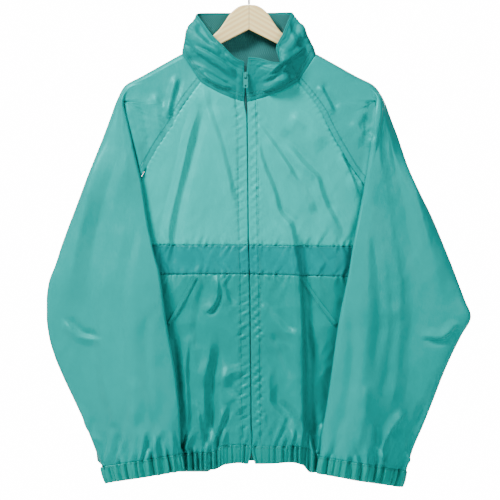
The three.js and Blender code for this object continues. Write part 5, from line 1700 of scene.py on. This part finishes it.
def inset(outline, amount):
    """An outline drawn in by an amount, corner by corner."""
    before = unit(outline - np.roll(outline, 1, axis=0))
    after = unit(np.roll(outline, -1, axis=0) - outline)
    bisector = unit(before + after)
    inward = np.stack([-bisector[:, 1], bisector[:, 0]], axis=1)
    area = np.sum(outline[:, 0] * np.roll(outline[:, 1], -1) - np.roll(outline[:, 0], -1) * outline[:, 1])
    if area < 0:
        inward = -inward
    cosine = np.maximum(0.5, np.sum(bisector * after, axis=1))
    return outline + inward * (amount / cosine)[:, None]


def arm_object(side):
    outline = arm_outline()
    keep = np.concatenate([[True], np.linalg.norm(np.diff(outline, axis=0), axis=1) > 0.05])
    outline = outline[keep]
    rings = []
    for depth, amount in ARM_RINGS:
        ring = inset(outline, amount)
        rings.append(points_of(SIDES[side] * ring[:, 0], depth, ring[:, 1]))
    rings = np.array(rings)
    rings[..., 0] = np.where(np.abs(outline[None, :, 0]) < 0.5, 0, rings[..., 0])
    count = len(outline)
    mesh = bpy.data.meshes.new(f"arm_wood_{side}")
    faces = [tuple(int(i) for i in q) for q in grid_quads(len(rings), count, True)]
    faces.append(tuple(range(count)))
    faces.append(tuple(reversed(range((len(rings) - 1) * count, len(rings) * count))))
    mesh.from_pydata([tuple(p / 1000) for p in rings.reshape(-1, 3)], [], faces)
    mesh.validate()
    solid = bmesh.new()
    solid.from_mesh(mesh)
    bmesh.ops.recalc_face_normals(solid, faces=solid.faces)
    solid.to_mesh(mesh)
    solid.free()
    mesh.materials.append(PINE)
    for polygon in mesh.polygons:
        polygon.use_smooth = len(polygon.vertices) == 4
    return add_object(f"arm_wood_{side}", mesh)


for side in SIDES:
    finish_piece(arm_object(side), f"hanger_arm_{side}")

HOOK_RADIUS = 18.9
HOOK_MIDDLE_Z = -17
WIRE_RADIUS = 1.9
angles = np.radians(np.arange(-58, 217, 4))
arc = points_of(HOOK_RADIUS * np.cos(angles), 0, HOOK_MIDDLE_Z + HOOK_RADIUS * np.sin(angles))
stem = smooth_path([(0, -57.2), (0, -51), (0, -45.5), (2.2, -39.8), (6.5, -35.6), tuple(arc[0][[0, 2]])], 6)
stem = points_of(stem[:, 0], 0, stem[:, 1])
hook_path = resampled(np.concatenate([stem[:-1], arc]), 150)
vertices, quads = tube(hook_path, WIRE_RADIUS, 16)
obj = make_mesh("hook_wire", vertices, quads, {}, STEEL)
finish_piece(obj, "hook")

# Nodes that keep their own form

for node, material in (("zip_slider", ZIP_METAL), ("zip_pull", ZIP_METAL), ("zip_end_box", ZIP_PLASTIC)):
    bpy.data.objects[node].material_slots[0].material = material


# Stage, lights and camera


def area_light(name, place, size, power):
    data = bpy.data.lights.new(name, "AREA")
    data.shape = "RECTANGLE"
    data.size, data.size_y = size
    data.energy = power
    obj = add_object(name, data)
    obj.location = place
    obj.rotation_euler = (Vector(MIDDLE) - Vector(place)).to_track_quat("-Z", "Y").to_euler()


MIDDLE = (0.0, 0.0, -0.48)
area_light("key", (-1.45, -1.25, 1.5), (0.7, 0.7), 156)
area_light("fill", (1.7, -2.4, 0.5), (1.2, 1.2), 43)
area_light("back_fill", (0.6, 2.6, 0.5), (1.6, 1.6), 40)


def studio_world():
    """Even dim light all round, with a bright low band behind the object and a paler one elsewhere."""
    world = bpy.data.worlds.new("studio")
    bpy.context.scene.world = world
    world.use_nodes = True
    tree = world.node_tree
    background = next(n for n in tree.nodes if n.type == "BACKGROUND")
    direction = add_node(tree, "ShaderNodeSeparateXYZ")
    link(tree, add_node(tree, "ShaderNodeTexCoord").outputs["Generated"], direction.inputs[0])
    background.inputs["Color"].default_value = (1.0, 1.0, 1.0, 1.0)
    height = maths(tree, "ABSOLUTE", direction.outputs["Z"])
    band = mapped(tree, height, 0.05, 0.12, 1.0, 0.0)
    behind = mapped(tree, direction.outputs["Y"], 0.93, 0.995, 0.0, 1.0)
    brightness = maths(tree, "MULTIPLY_ADD", behind, 15.0, 0.6)
    link(tree, maths(tree, "MULTIPLY_ADD", band, brightness, 0.16), background.inputs["Strength"])


studio_world()

floor_points = [(x, y, -1450.0) for y in (-9000, 9000) for x in (-9000, 9000)]
make_mesh("studio_floor", floor_points, grid_quads(2, 2), {}, stage_material("studio_white"))

LENS, SENSOR = 500, 36
VIEW_WIDTH = 0.86
camera_data = bpy.data.cameras.new("camera")
camera_data.lens = LENS
camera_data.sensor_width = SENSOR
camera_data.clip_end = 60
camera = add_object("camera", camera_data)
bpy.context.scene.camera = camera
camera.location = (0.0017, -VIEW_WIDTH * LENS / SENSOR - 0.03, -0.4806)
camera.rotation_euler = (math.pi / 2, 0, 0)
